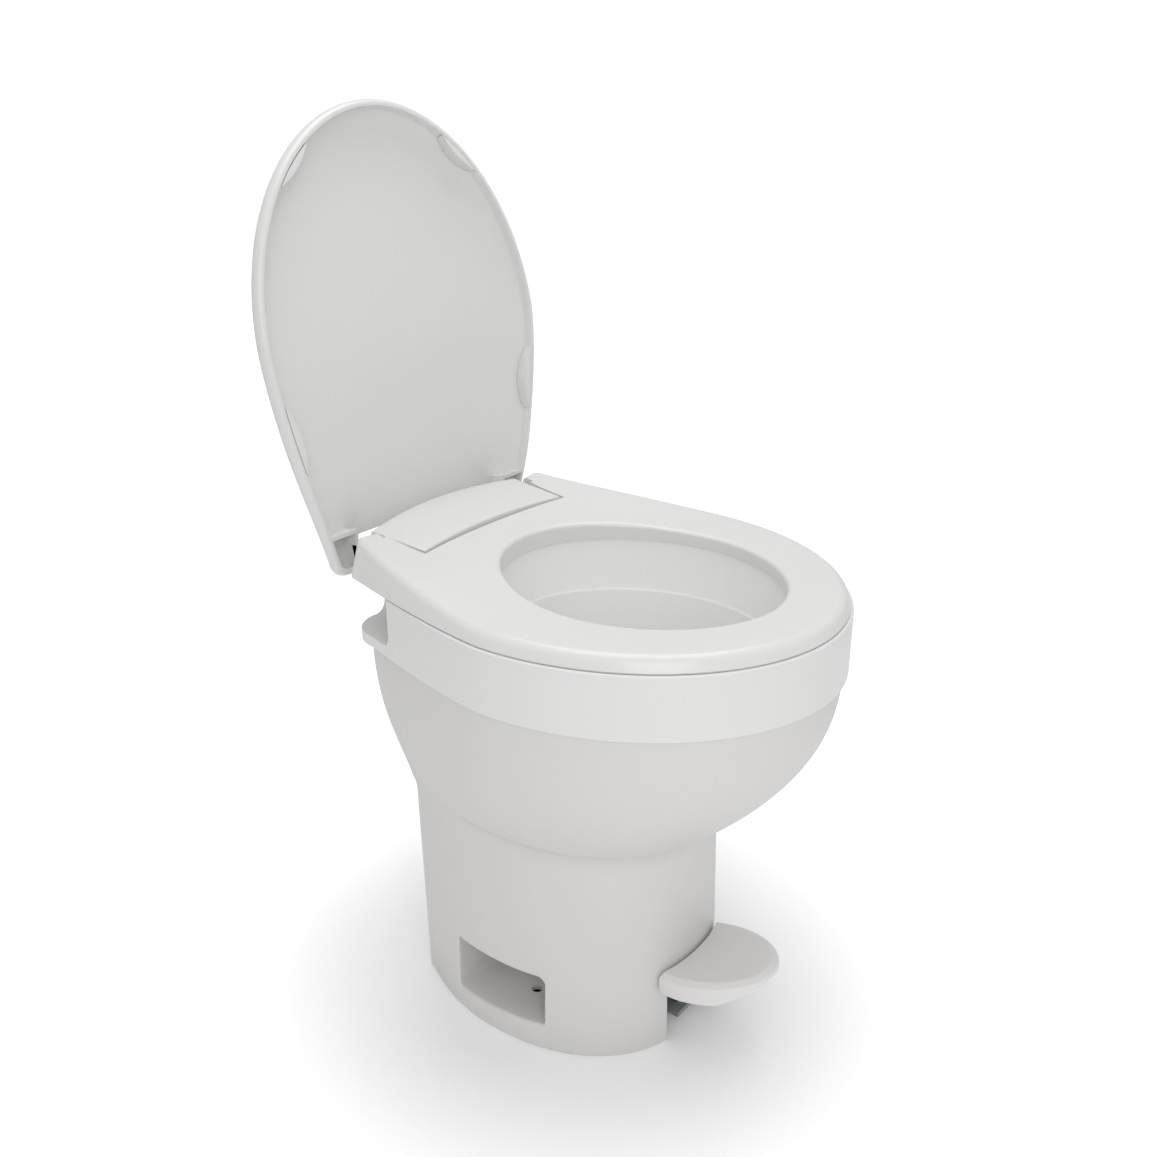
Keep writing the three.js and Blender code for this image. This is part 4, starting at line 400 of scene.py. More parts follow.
def plan_ring(plan, height, inset=0.0):
    """Front half a superellipse, then sides that draw in to rounded rear corners; it starts at the front."""
    steps = sizes().ring_points
    half_width, front = plan["half_width"] - inset, plan["front"] - inset
    rear, rear_half = plan["rear"] - inset, plan["rear_half"] - inset
    corner = max(plan["corner"] - inset, 1 * MM)
    half = []
    for i in range(steps + 1):
        angle = i / steps * math.pi / 2
        half.append((
            half_width * math.sin(angle) ** (2 / plan["power"]),
            plan["middle"] - front * max(0.0, math.cos(angle)) ** (2 / plan["power"]),
        ))
    side_end = rear - corner
    side_steps = steps // 2
    for i in range(1, side_steps + 1):
        share = i / side_steps
        half.append((
            half_width - (half_width - rear_half) * share ** plan["side_power"],
            plan["middle"] + (side_end - plan["middle"]) * share,
        ))
    corner_steps = 8
    for i in range(1, corner_steps + 1):
        angle = i / corner_steps * math.pi / 2
        half.append((rear_half - corner + corner * math.cos(angle), side_end + corner * math.sin(angle)))
    rear_steps = 6
    for i in range(1, rear_steps + 1):
        half.append(((rear_half - corner) * (1 - i / rear_steps), rear))
    points = half + [(-x, y) for x, y in reversed(half[1:-1])]
    return [Vector((x, y, height_at(height, x, y))) for x, y in points]


def ring_count():
    """How many points every outline has."""
    steps = sizes().ring_points
    return 2 * (steps + steps // 2 + 8 + 6)


def oval_ring(oval, height, inset=0.0, count=None):
    """A closed oval with its own front and rear reach, from the front round by +X."""
    count = count or ring_count()
    ring = []
    for i in range(count):
        angle = i / count * 2 * math.pi - math.pi / 2
        cosine, sine = math.cos(angle), math.sin(angle)
        reach = (oval["front"] if sine < 0 else oval["rear"]) - inset
        x = (oval["half_width"] - inset) * math.copysign(abs(cosine) ** (2 / oval["power"]), cosine)
        y = oval["middle"] + reach * math.copysign(abs(sine) ** (2 / oval["power"]), sine)
        ring.append(Vector((x, y, height_at(height, x, y))))
    return ring


def mix_plans(start, end, share, rear_share=None):
    """An outline between two others; its rear may follow its own share."""
    rear_share = share if rear_share is None else rear_share
    mixed = {}
    for key, value in start.items():
        part = rear_share if key in ("rear", "rear_half", "corner") else share
        mixed[key] = value + (end[key] - value) * part
    return mixed


def sizes():
    """The toilet's sizes."""
    return bpy.context.scene.toilet_sizes


def seat_plan():
    s = sizes()
    return {
        "half_width": s.seat_width / 2, "front": s.seat_front, "middle": s.seat_middle, "power": 1.97,
        "rear": s.seat_rear, "rear_half": s.seat_rear_width / 2, "corner": s.seat_corner, "side_power": 1.35,
    }


def band_plan():
    s = sizes()
    plan = seat_plan()
    for key in ("half_width", "front"):
        plan[key] += s.band_outset
    return {**plan, "rear": BAND_REAR, "rear_half": s.band_rear_width / 2, "corner": s.band_corner}


def lid_plan():
    s = sizes()
    plan = seat_plan()
    for key in ("half_width", "front"):
        plan[key] -= s.lid_inset + 0.1 * MM
    plan.update(rear=s.lid_rear, rear_half=s.lid_rear_width / 2, corner=s.lid_corner, side_power=1.6)
    return plan


def base_plan(z):
    """The base's outline, which tapers a little up to the neck."""
    s = sizes()
    share = max(0.0, z) / s.neck_height
    taper = 1 - 0.035 * share
    return {
        "half_width": s.base_width / 2 * taper, "front": s.base_front * taper, "middle": s.base_middle,
        "power": 2.23, "rear": s.base_rear, "corner": s.base_corner, "side_power": 2,
        "rear_half": (s.base_rear_width + (s.neck_rear_width - s.base_rear_width) * share) / 2,
    }


def hole_oval():
    s = sizes()
    return {
        "half_width": s.hole_width / 2, "front": s.hole_front, "rear": s.hole_rear, "middle": s.hole_middle,
        "power": 1.94,
    }


# How far the seat's side leans in for each unit of height, and its rear corners open out with it
SEAT_DRAFT = 0.42
SEAT_CORNER_DRAFT = 0.7
# The rise in the seat's middle as a share of the rise at its sides
SEAT_MIDDLE_RISE = 0.6


def seat_edge_rise(y):
    """How much higher the seat's edge is than in front; the rise begins softly."""
    s = sizes()
    back = min(y, s.seat_rear)
    along = (back - s.seat_rise_start) / (s.seat_rear - s.seat_rise_start)
    run = (along + math.hypot(along, 0.12)) / 2
    lift = max(0.0, back - s.seat_lift_start) / (s.seat_rear - s.seat_lift_start)
    return s.seat_rise * run**1.1 + s.seat_lift * lift**2


def seat_top(x, y):
    """Height of the seat's top: level in front, rising to the rear and more so at the sides."""
    s = sizes()
    across = min(1.0, abs(x) / (s.seat_rear_width / 2)) ** 2
    return s.seat_height + seat_edge_rise(y) * (SEAT_MIDDLE_RISE + (1 - SEAT_MIDDLE_RISE) * across)


def seat_bottom():
    s = sizes()
    return s.seat_height - s.seat_thickness


def seat_top_rear():
    """The highest place of the seat."""
    s = sizes()
    return s.seat_height + s.seat_rise + s.seat_lift


def rim_top():
    s = sizes()
    return s.seat_height - s.seat_thickness - 0.6 * MM


def seat_ring(height, inset):
    """The seat's outline drawn in with height: its side leans inwards while its rear stays upright."""
    bottom = seat_bottom()
    reach = seat_top_rear() - bottom
    draft = SEAT_DRAFT * reach
    plan = seat_plan()
    outer = plan_ring(plan, height, inset)
    drawn_plan = {**plan, "rear": plan["rear"] + draft, "corner": plan["corner"] + SEAT_CORNER_DRAFT * draft}
    drawn = plan_ring(drawn_plan, height, inset + draft)
    ring = []
    for a, b in zip(outer, drawn):
        share = max(0.0, min(1.0, (a.z - bottom) / reach))
        moved = a.lerp(b, share)
        moved.z = height_at(height, moved.x, moved.y)
        ring.append(moved)
    return ring


# Pedestal


def rear_bulge(share):
    return (1 - (1 - share) ** 2.2) ** 1.6


def pedestal_rings(inset, bottom, top):
    """Outlines from the floor up the base, over the crease and out round the bowl."""
    s = sizes()
    neck, band_bottom, blend = s.neck_height, rim_top() - s.band_height, 16 * MM
    crown = {
        **band_plan(), "half_width": seat_plan()["half_width"] - s.band_outset,
        "front": seat_plan()["front"] - s.band_outset, "rear_half": s.body_rear_width / 2,
        "rear": s.body_rear, "side_power": 1.6,
    }
    rise = band_bottom - neck

    def bulge(share):
        return 1 - (1 - share) ** 2.1

    rings = [plan_ring(base_plan(bottom), bottom, inset)]
    for z in (neck * 0.25, neck * 0.5, neck * 0.75):
        rings.append(plan_ring(base_plan(z), z, inset))
    start = bulge(blend / rise)
    for i in range(9):
        step = i / 4 - 1
        z = neck + blend * step
        front = start * ((1 + step) / 2) ** 2
        rear = rear_bulge(blend * step / rise) if step > 0 else 0.0
        rings.append(plan_ring(mix_plans(base_plan(min(z, neck)), crown, front, rear), z, inset))
    first, crease = blend / rise, 0.9 * MM
    plan = mix_plans(base_plan(neck), crown, start, rear_bulge(first))
    rings.append(plan_ring(plan, neck + blend + 0.5 * MM, inset - crease))
    for i in range(1, 21):
        share = first + (1 - first) * i / 20
        plan = mix_plans(base_plan(neck), crown, bulge(share), rear_bulge(share))
        rings.append(plan_ring(plan, neck + rise * share, inset - crease * (1 - share)))
    rings.append(plan_ring(crown, top, inset))
    return rings


POCKET = {"front": 13.5 * MM, "rear": 119.5 * MM, "top": 80.5 * MM, "corner": 8 * MM, "inner": 57 * MM}
POCKET_SILLS = (27 * MM, 22 * MM)
POCKET_FLOOR = 18 * MM
POCKET_LIP = 3 * MM
BOLT_X = 76.2 * MM
BOLT_RADIUS = 5.5 * MM
FOOT_ROUND = 1.2 * MM
PEDAL_SLOT_HALF = 39 * MM
PEDAL_SLOT_TOP = 70 * MM
INLET_X = -67 * MM
INLET_RADIUS = 13 * MM
# Every cutter reaches this far past what it cuts
OVERRUN = 20 * MM


def pocket_outline(grow, front_sill, rear_sill):
    """The side pocket's mouth from the side, with every corner rounded, as (y, z) points."""
    front, rear, top = POCKET["front"] - grow, POCKET["rear"] + grow, POCKET["top"] + grow
    corners = [
        (front, front_sill - grow, POCKET_LIP + grow, 180), (rear, rear_sill - grow, POCKET_LIP + grow, 270),
        (rear, top, POCKET_LIP + grow, 0), (front, top, POCKET["corner"] + grow, 90),
    ]
    points = []
    for y, z, radius, start in corners:
        middle_y = y + radius * (1 if y == front else -1)
        middle_z = z + radius * (-1 if z == top else 1)
        for i in range(7):
            angle = math.radians(start + 90 * i / 6)
            points.append((middle_y + radius * math.cos(angle), middle_z + radius * math.sin(angle)))
    # The runs between the corners get points too, so that they follow the base's curved side
    full = []
    for index, (y, z) in enumerate(points):
        full.append((y, z))
        if index % 7 == 6:
            next_y, next_z = points[(index + 1) % len(points)]
            full += [(y + (next_y - y) * i / 12, z + (next_z - z) * i / 12) for i in range(1, 12)]
    return full


def wall_x(y, z):
    """Half the base's width at a place on its side."""
    plan = base_plan(z)
    if y < plan["middle"]:
        share = min(1.0, (plan["middle"] - y) / plan["front"])
        return plan["half_width"] * (1 - share ** plan["power"]) ** (1 / plan["power"])
    share = (y - plan["middle"]) / (plan["rear"] - plan["corner"] - plan["middle"])
    return plan["half_width"] - (plan["half_width"] - plan["rear_half"]) * share ** plan["side_power"]


def pocket_cutter(side):
    """The pocket's hollow, flared where it meets the base's skin so that its lip is rounded."""
    lip = POCKET_LIP
    rings = [[(side * POCKET["inner"], y, z) for y, z in pocket_outline(0, POCKET_FLOOR, POCKET_FLOOR)]]
    depths = [6 * MM]
    grows = [0.0]
    for i in range(7):
        angle = i / 6 * math.pi / 2
        depths.append(lip * (1 - math.sin(angle)))
        grows.append(lip * (1 - math.cos(angle)))
    depths += [-0.5 * MM, -OVERRUN]
    grows += [lip, lip + 2 * MM]
    for depth, grow in zip(depths, grows):
        ring = []
        for y, z in pocket_outline(grow, *POCKET_SILLS):
            ring.append((side * (wall_x(y, z) - depth), y, z))
        rings.append(ring)
    return skin("pocket_cutter", [[Vector(p) for p in ring] for ring in rings])


def make_pedestal():
    s = sizes()
    top = rim_top() - s.band_height + 6 * MM
    foot = FOOT_ROUND
    outer = pedestal_rings(0, 0, top)
    outer = [plan_ring(base_plan(0), 0, foot), plan_ring(base_plan(0), 0.35 * foot, 0.3 * foot)] + [
        plan_ring(base_plan(foot), foot, 0)
    ] + outer[1:]
    inner = pedestal_rings(s.shell_wall, 0, top)
    body = skin("pedestal_body", outer + inner[::-1] + [outer[0]], closed=True)
    for side in (-1, 1):
        core = skin("core", pedestal_rings(0.6 * MM, 0.6 * MM, top - 1 * MM))
        near, far = POCKET["inner"] - POCKET_LIP, s.base_width / 2 + OVERRUN
        outline = pocket_outline(POCKET_LIP, POCKET_FLOOR, POCKET_FLOOR)
        liner = skin("liner", [[Vector((side * x, y, z)) for y, z in outline] for x in (near, far)])
        combine(liner, core, "INTERSECT")
        combine(body, liner, "UNION")
        cut(body, pocket_cutter(side))
        bolt = (side * BOLT_X, s.outlet_y)
        cut(body, bar((*bolt, -OVERRUN), (*bolt, POCKET_FLOOR + 3 * MM), BOLT_RADIUS))
    slot_front = s.base_middle - s.base_front - OVERRUN
    cut(body, block(-PEDAL_SLOT_HALF, PEDAL_SLOT_HALF, slot_front, s.pivot_y, -OVERRUN, PEDAL_SLOT_TOP))
    inlet = Vector((INLET_X, s.base_rear, sum(corner.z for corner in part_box("inlet_fitting")) / 2))
    reach = Vector((0, OVERRUN, 0))
    cut(body, bar(inlet - reach, inlet + reach, INLET_RADIUS))
    return settle(body, "base", "body_plastic", "pedestal_shell")


# Rim


SHELF_COVE = 11 * MM
RIM_LOWER_ROUND = 1.4 * MM
RIM_UPPER_ROUND = 1.5 * MM
# The pedestal's top stands this far inside the rim, which is thicker above it
RIM_LEDGE = 6.3 * MM
RIM_THICKER = 4 * MM
# How much wider than the seat's opening the rim's is
RIM_OPENING = 6 * MM


def shelf_cutter(side, grow):
    """The rear shelf's cut-out, with coved lower and inner edges."""
    s = sizes()
    near, far = s.deck_width / 2 - grow, s.seat_width / 2 + OVERRUN
    cutter = block(side * near, side * far, s.shelf_start - grow, BAND_REAR + OVERRUN,
                   rim_top() - s.shelf_drop - grow, rim_top() + OVERRUN)
    bpy.ops.object.mode_set(mode="EDIT")
    bpy.ops.mesh.select_all(action="DESELECT")
    bpy.ops.mesh.select_mode(type="EDGE")
    mesh = bmesh.from_edit_mesh(cutter.data)
    low = rim_top() - s.shelf_drop - grow
    for edge in mesh.edges:
        ends = [v.co for v in edge.verts]
        at_bottom = all(abs(c.z - low) < 1e-6 for c in ends)
        at_inner = all(abs(abs(c.x) - near) < 1e-6 for c in ends)
        at_front = all(abs(c.y - (s.shelf_start - grow)) < 1e-6 for c in ends)
        edge.select = (at_bottom and (at_inner or at_front)) or (at_inner and at_front)
    bmesh.update_edit_mesh(cutter.data)
    bpy.ops.mesh.bevel(offset=SHELF_COVE, segments=10, affect="EDGES")
    bpy.ops.mesh.select_all(action="SELECT")
    bpy.ops.mesh.normals_make_consistent(inside=False)
    bpy.ops.object.mode_set(mode="OBJECT")
    return cutter


def make_rim():
    s = sizes()
    plan, top = band_plan(), rim_top()
    bottom, rounding = top - s.band_height, RIM_LOWER_ROUND
    rings = [plan_ring(plan, bottom, rounding + 1 * MM)]
    for i in range(7):
        angle = i / 6 * math.pi / 2
        height = bottom + rounding * (1 - math.cos(angle))
        rings.append(plan_ring(plan, height, rounding * (1 - math.sin(angle))))
    rings.append(plan_ring(plan, (bottom + top) / 2))
    edge = RIM_UPPER_ROUND
    for i in range(5):
        angle = i / 4 * math.pi / 2
        rings.append(plan_ring(plan, top - edge * (1 - math.sin(angle)), edge * (1 - math.cos(angle))))
    rim = skin("rim_skirt", rings)
    cut(rim, shelf_cutter(-1, 0), shelf_cutter(1, 0))
    ledge = bottom + RIM_LEDGE
    inner = skin("rim_inside", [
        plan_ring(plan, bottom - OVERRUN, s.band_wall), plan_ring(plan, ledge, s.band_wall),
        plan_ring(plan, ledge + 0.1 * MM, s.band_wall + RIM_THICKER),
        plan_ring(plan, top - s.band_wall, s.band_wall + RIM_THICKER),
    ])
    cut(inner, shelf_cutter(-1, s.band_wall), shelf_cutter(1, s.band_wall))
    cut(rim, inner)
    cut(rim, skin("opening", [oval_ring(hole_oval(), z, -RIM_OPENING) for z in (bottom, top + OVERRUN)]))
    clearance = pedestal_rings(-0.3 * MM, 0, ledge)
    cut(rim, skin("clearance", clearance))
    # The rim wears the lighter copy of the body's plastic: painted light
    return settle(rim, "base", "body_plastic", "rim_band", finish="rim_gloss_painted_light")


# Bowl


BOWL_WALL = 3.5 * MM
BOWL_LEDGE_DROP = 51 * MM
THROAT_RADIUS = 36 * MM
THROAT_HEIGHT = 11 * MM
BOWL_FLANGE = {"radius": 66 * MM, "height": 5 * MM, "opening": 38 * MM}
NOZZLE_BORE = 6.3 * MM


def round_plan(radius):
    """A circle round the outlet."""
    return {"half_width": radius, "front": radius, "rear": radius, "middle": sizes().outlet_y, "power": 2}


def bowl_rings(outset, low):
    """Outlines down the upper wall, over a narrow ledge and round into the throat."""
    top, ledge = rim_top(), rim_top() - BOWL_LEDGE_DROP
    grow = -2 * MM - outset
    hole = hole_oval()
    throat_top = low + THROAT_HEIGHT
    throat = round_plan(THROAT_RADIUS)
    rings = [oval_ring(hole, top, grow), oval_ring(hole, ledge - outset + 1.5 * MM, grow + 1 * MM)]
    for i in range(1, 4):
        angle = i / 3 * math.pi / 2
        rings.append(oval_ring(hole, ledge - outset + 1.5 * MM - 2 * MM * math.sin(angle),
                               grow + 1 * MM + 3 * MM * (1 - math.cos(angle))))
    upper = {**hole}
    for key in ("half_width", "front", "rear"):
        upper[key] -= 2 * MM
    for i in range(1, 25):
        angle = i / 24 * math.pi / 2
        oval = mix_plans(throat, upper, max(0.0, math.cos(angle)) ** 0.9)
        z = ledge - outset - 1 * MM - (ledge - 1 * MM - throat_top) * math.sin(angle)
        rings.append(oval_ring(oval, z, -outset))
    rings.append(oval_ring(throat, low, -outset))
    return rings


def make_bowl():
    s = sizes()
    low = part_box("bowl_liner")[0].z
    inner, outer = bowl_rings(0, low), bowl_rings(BOWL_WALL, low)
    bowl = skin("bowl", inner + outer[::-1] + [inner[0]], closed=True)
    height = BOWL_FLANGE["height"]
    flange = bar((0, s.outlet_y, low), (0, s.outlet_y, low + height), BOWL_FLANGE["radius"], 96)
    throat = round_plan(BOWL_FLANGE["opening"])
    cut(flange, skin("throat", [oval_ring(throat, z) for z in (low - height, low + 12 * MM)]))
    combine(bowl, flange, "UNION")
    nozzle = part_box("rinse_nozzle")
    middle = (nozzle[0] + nozzle[1]) / 2 - SHIFT
    cut(bowl, bar((-s.hole_width, middle.y, middle.z), (0, middle.y, middle.z), NOZZLE_BORE))
    return settle(bowl, "base", "bowl_plastic", "bowl_liner", angle=50)


# Hinge cover


PANEL = {
    "front": 160 * MM, "front_half": 98 * MM, "front_bow": 10.5 * MM, "rear": 224 * MM, "rear_half": 102 * MM,
    "rear_bow": 14 * MM, "front_z": 468.6 * MM, "rear_z": 474.6 * MM, "crown": 3 * MM, "wall": 3 * MM,
    "edge": 1.8 * MM, "plate": 3.2 * MM, "middle": 192 * MM,
}
HINGE_END = 126.5 * MM
HINGE_WAY = 4.4 * MM
# Behind the hinge the cover is open up to this height, where the lid turns
COVER_BACK = {"front": 217 * MM, "rear": 258 * MM, "top": 462 * MM}


def panel_outline(grow, rear=None):
    """The hinge cover from above, as (x, y) points."""
    points = []
    for i in range(33):
        across = 2 * i / 32 - 1
        points.append((across * (PANEL["front_half"] + grow),
                       PANEL["front"] + PANEL["front_bow"] * (1 - across**2) - grow))
    for i in range(32, -1, -1):
        across = 2 * i / 32 - 1
        y = PANEL["rear"] + PANEL["rear_bow"] * (1 - across**2) + grow if rear is None else rear
        points.append((across * (PANEL["rear_half"] + grow), y))
    return points


def panel_top(x, y):
    run = (y - PANEL["front"]) / (PANEL["rear"] - PANEL["front"])
    crown = PANEL["crown"] * (1 - min(1.0, abs(x) / PANEL["front_half"]) ** 2)
    return PANEL["front_z"] + (PANEL["rear_z"] - PANEL["front_z"] + crown) * min(1.0, run)


def panel_ring(grow, drop):
    """One outline of the cover; drop is a depth under its top."""
    return [Vector((x, y, panel_top(x, y) - drop)) for x, y in panel_outline(grow)]


def make_hinge_cover():
    s = sizes()
    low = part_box("hinge_cover")[0].z
    edge = PANEL["edge"]
    rings = [[Vector((x, y, low)) for x, y in panel_outline(0)]]
    for i in range(6):
        angle = i / 5 * math.pi / 2
        rings.append(panel_ring(-edge * (1 - math.cos(angle)), edge * (1 - math.sin(angle))))
    for share in (0.1, 0.3, 0.6, 0.9):
        points = [(p.x * (1 - share), p.y + (PANEL["middle"] - p.y) * share) for p in rings[6]]
        rings.append([Vector((x, y, panel_top(x, y))) for x, y in points])
    cover = skin("hinge_panel", rings)
    inner = skin("cover_inside", [
        [Vector((x, y, low - OVERRUN)) for x, y in panel_outline(-PANEL["wall"])],
        panel_ring(-PANEL["wall"], PANEL["wall"]),
    ])
    end = HINGE_END
    way = block(-end, end, s.hinge_y - HINGE_WAY, s.hinge_y + HINGE_WAY, low - OVERRUN, s.hinge_z)
    cut(cover, inner, way, bar((-end, s.hinge_y, s.hinge_z), (end, s.hinge_y, s.hinge_z), HINGE_WAY))
    cut(cover, block(-end, end, COVER_BACK["front"], COVER_BACK["rear"], low - OVERRUN, COVER_BACK["top"]))
    # Along its sides only the top plate is left, so that the gap beside it is dark
    front, rear = PANEL["front"] - 10 * MM, PANEL["rear"] + 21 * MM
    outline = [(front, low - OVERRUN), (rear, low - OVERRUN)]
    outline += [(y, panel_top(PANEL["rear_half"], y) - PANEL["plate"]) for y in (rear, front)]
    for side in (-1, 1):
        beside = [side * x for x in (PANEL["front_half"] - 5 * MM, PANEL["rear_half"] + 10 * MM)]
        cut(cover, skin("undercut", [[Vector((x, y, z)) for y, z in outline] for x in beside]))
    return settle(cover, "base", "seat_plastic", "hinge_cover", angle=40)


# Seat


def seat_solid(inset, bottom, drop):
    """The seat's solid outline, or its hollow when inset and dropped."""
    s = sizes()
    low = seat_bottom()
    rounding, lower = s.seat_round, 1.2 * MM

    def top(x, y):
        return seat_top(x, y) - drop

    rings = [seat_ring(bottom, inset + (0 if drop else lower)), seat_ring(max(bottom, low) + lower, inset)]
    for i in range(9):
        angle = i / 8 * math.pi / 2
        fall, drawn_in = rounding * (1 - math.sin(angle)), rounding * (1 - math.cos(angle))
        rings.append(seat_ring(lambda x, y, fall=fall: top(x, y) - fall, inset + drawn_in))
    for ring_inset in (27, 33, 42, 54, 68, 82, 94):
        rings.append(plan_ring(seat_plan(), top, ring_inset * MM))
    return skin("seat_part", rings)


def seat_hole(grow):
    """The seat's opening with its rounded edge."""
    s = sizes()
    edge, hole = s.hole_round, hole_oval()
    rings = [oval_ring(hole, seat_bottom() - OVERRUN, -grow)]
    for i in range(9):
        angle = i / 8 * math.pi / 2
        fall = edge * (1 - math.sin(angle))
        rings.append(oval_ring(hole, lambda x, y, fall=fall: seat_top(x, y) - fall,
                               -grow - edge * (1 - math.cos(angle))))
    rings.append(oval_ring(hole, seat_top_rear() + OVERRUN, -grow - edge))
    return skin("hole", rings)


def seat_notch(grow):
    """The space for the hinge cover."""
    outline = panel_outline(COVER_GAP + grow, sizes().seat_rear + 40 * MM)
    heights = (seat_bottom() - OVERRUN, seat_top_rear() + OVERRUN)
    return skin("notch", [[Vector((x, y, z)) for x, y in outline] for z in heights])


COVER_GAP = 3 * MM
EAR_ROUND = 10 * MM
ARM_X = (103 * MM, 106.5 * MM)
ARM_RADIUS = 9.5 * MM
ARM_SLOT = {"inner": 100 * MM, "outer": 107 * MM, "front": 202.5 * MM}
KNUCKLE_X = (107.5 * MM, 127 * MM)
KNUCKLE_RADIUS = 8 * MM
PIN_BORE = 4.1 * MM


def ear_rounding(radius):
    """What is taken off the seat's lower rear edge to round it."""
    s = sizes()
    middle, wide = s.seat_rear - EAR_ROUND, s.seat_width / 2
    corner = block(-wide, wide, middle, s.seat_rear + 30 * MM, seat_bottom() - 40 * MM, s.hinge_z)
    ends = [(x, middle, s.hinge_z) for x in (-wide - OVERRUN, wide + OVERRUN)]
    return cut(corner, bar(*ends, radius, 160))


def arm_slot(side, grow):
    """The way for the lid's arm at the inner side of an ear."""
    s = sizes()
    return block(side * ARM_SLOT["inner"], side * (ARM_SLOT["outer"] + grow), ARM_SLOT["front"] - grow,
                 s.seat_rear + 30 * MM, seat_bottom() - 30 * MM, seat_top_rear() + OVERRUN)


def across(side, span, radius, vertices=64):
    """A round bar on the hinge's axis between two distances from the middle."""
    s = sizes()
    return bar(*[(side * x, s.hinge_y, s.hinge_z) for x in span], radius, vertices)


def make_seat():
    s = sizes()
    seat = cut(seat_solid(0, seat_bottom(), 0), seat_hole(0), seat_notch(0), ear_rounding(EAR_ROUND),
               arm_slot(-1, 0), arm_slot(1, 0))
    wall = s.seat_wall
    hollow = cut(seat_solid(wall, seat_bottom() - OVERRUN, wall), seat_hole(wall), seat_notch(wall),
                 ear_rounding(EAR_ROUND - wall), arm_slot(-1, wall), arm_slot(1, wall))
    cut(seat, hollow)
    for side in (-1, 1):
        combine(seat, across(side, KNUCKLE_X, KNUCKLE_RADIUS), "UNION")
        cut(seat, across(side, (KNUCKLE_X[0] - 1 * MM, KNUCKLE_X[1] + 1 * MM), PIN_BORE))
    seat.name = "seat_ring"
    return settle(seat, "seat", "seat_plastic", "seat_shell")


# Lid


def lid_lip(x, y):
    """Height of the lid's lip, which follows the seat's edge."""
    s = sizes()
    return s.seat_height + seat_edge_rise(y) + s.lid_gap


def above_lip(height):
    return lambda x, y: lid_lip(x, y) + height


LID_OPEN = -101.5
LID_BLEND = 26 * MM
LID_CROWN_RUN = 70 * MM
LID_EASED = 3.2 * MM
LID_EASED_INSIDE = 7.1 * MM
LID_RIB = (188.5 * MM, 192 * MM)
# Between the arms the lid ends here, clear of the rim when the seat and the lid are both turned back
LID_MIDDLE_END = 198.5 * MM


def lid_roof(inset, eased):
    """Height of the lid's outside over its lip, eased down towards its edge."""
    s = sizes()
    crown = s.lid_crown * (1 - (1 - min(inset, LID_CROWN_RUN) / LID_CROWN_RUN) ** 2)
    return s.lid_depth + crown - eased * max(0.0, 1 - inset / LID_BLEND) ** 2


LID_INSETS = [i * MM for i in (10, 12, 15, 18, 22, 26, 36, 46, 58, 72, 86, 100, 120)]


def closing_rings(ring, height):
    """Smaller and smaller copies of an outline, which carry a curved face on to its middle."""
    middle = sum(ring, Vector()) / len(ring)
    rings = []
    for share in (0.2, 0.4, 0.6, 0.8, 0.97):
        points = [point.lerp(middle, share) for point in ring]
        rings.append([Vector((p.x, p.y, height(p.x, p.y))) for p in points])
    return rings


def lip_rings(insets):
    """The plane of the lid's lip, from its middle outwards."""
    rings = [plan_ring(lid_plan(), above_lip(0), inset) for inset in insets]
    return closing_rings(rings[0], lid_lip)[::-1] + rings


def lid_outer():
    """The lid's outside: a flat lip, a bulging nose round the edge, then the crowned roof."""
    plan, half = lid_plan(), sizes().lid_depth / 2
    rings = lip_rings([120 * MM, 60 * MM, 25 * MM, 8 * MM])
    for i in range(9):
        angle = math.radians(-90 + 90 * i / 8)
        rings.append(plan_ring(plan, above_lip(half * (1 + math.sin(angle))), 4 * MM * (1 - math.cos(angle))))
    for i in range(1, 8):
        angle = math.radians(65 * i / 7)
        rings.append(plan_ring(plan, above_lip(half + 6.18 * MM * math.sin(angle)),
                               5.54 * MM * (1 - math.cos(angle))))
    for inset in [4.5 * MM, 6.5 * MM, *LID_INSETS]:
        rings.append(plan_ring(plan, above_lip(lid_roof(inset, LID_EASED)), inset))
    rings += closing_rings(rings[-1], above_lip(lid_roof(LID_INSETS[-1], 0)))
    return skin("lid_outside", rings)


def lid_inner(gap, first):
    """The lid's hollow from its first outlines over the edge's inner wall and the dish; gap draws it in."""
    s = sizes()
    plan = lid_plan()
    rings = list(first)
    for height, inset in ((7.9, 7.0), (8.9, 7.2), (9.5, 7.65), (10.05, 8.5)):
        rings.append(plan_ring(plan, above_lip(height * MM - gap), inset * MM + gap))
    for inset in LID_INSETS:
        height = lid_roof(inset, LID_EASED_INSIDE) - s.lid_wall
        rings.append(plan_ring(plan, above_lip(height - gap), inset))
    rings += closing_rings(rings[-1], above_lip(height - gap))
    return skin("lid_inside", rings)


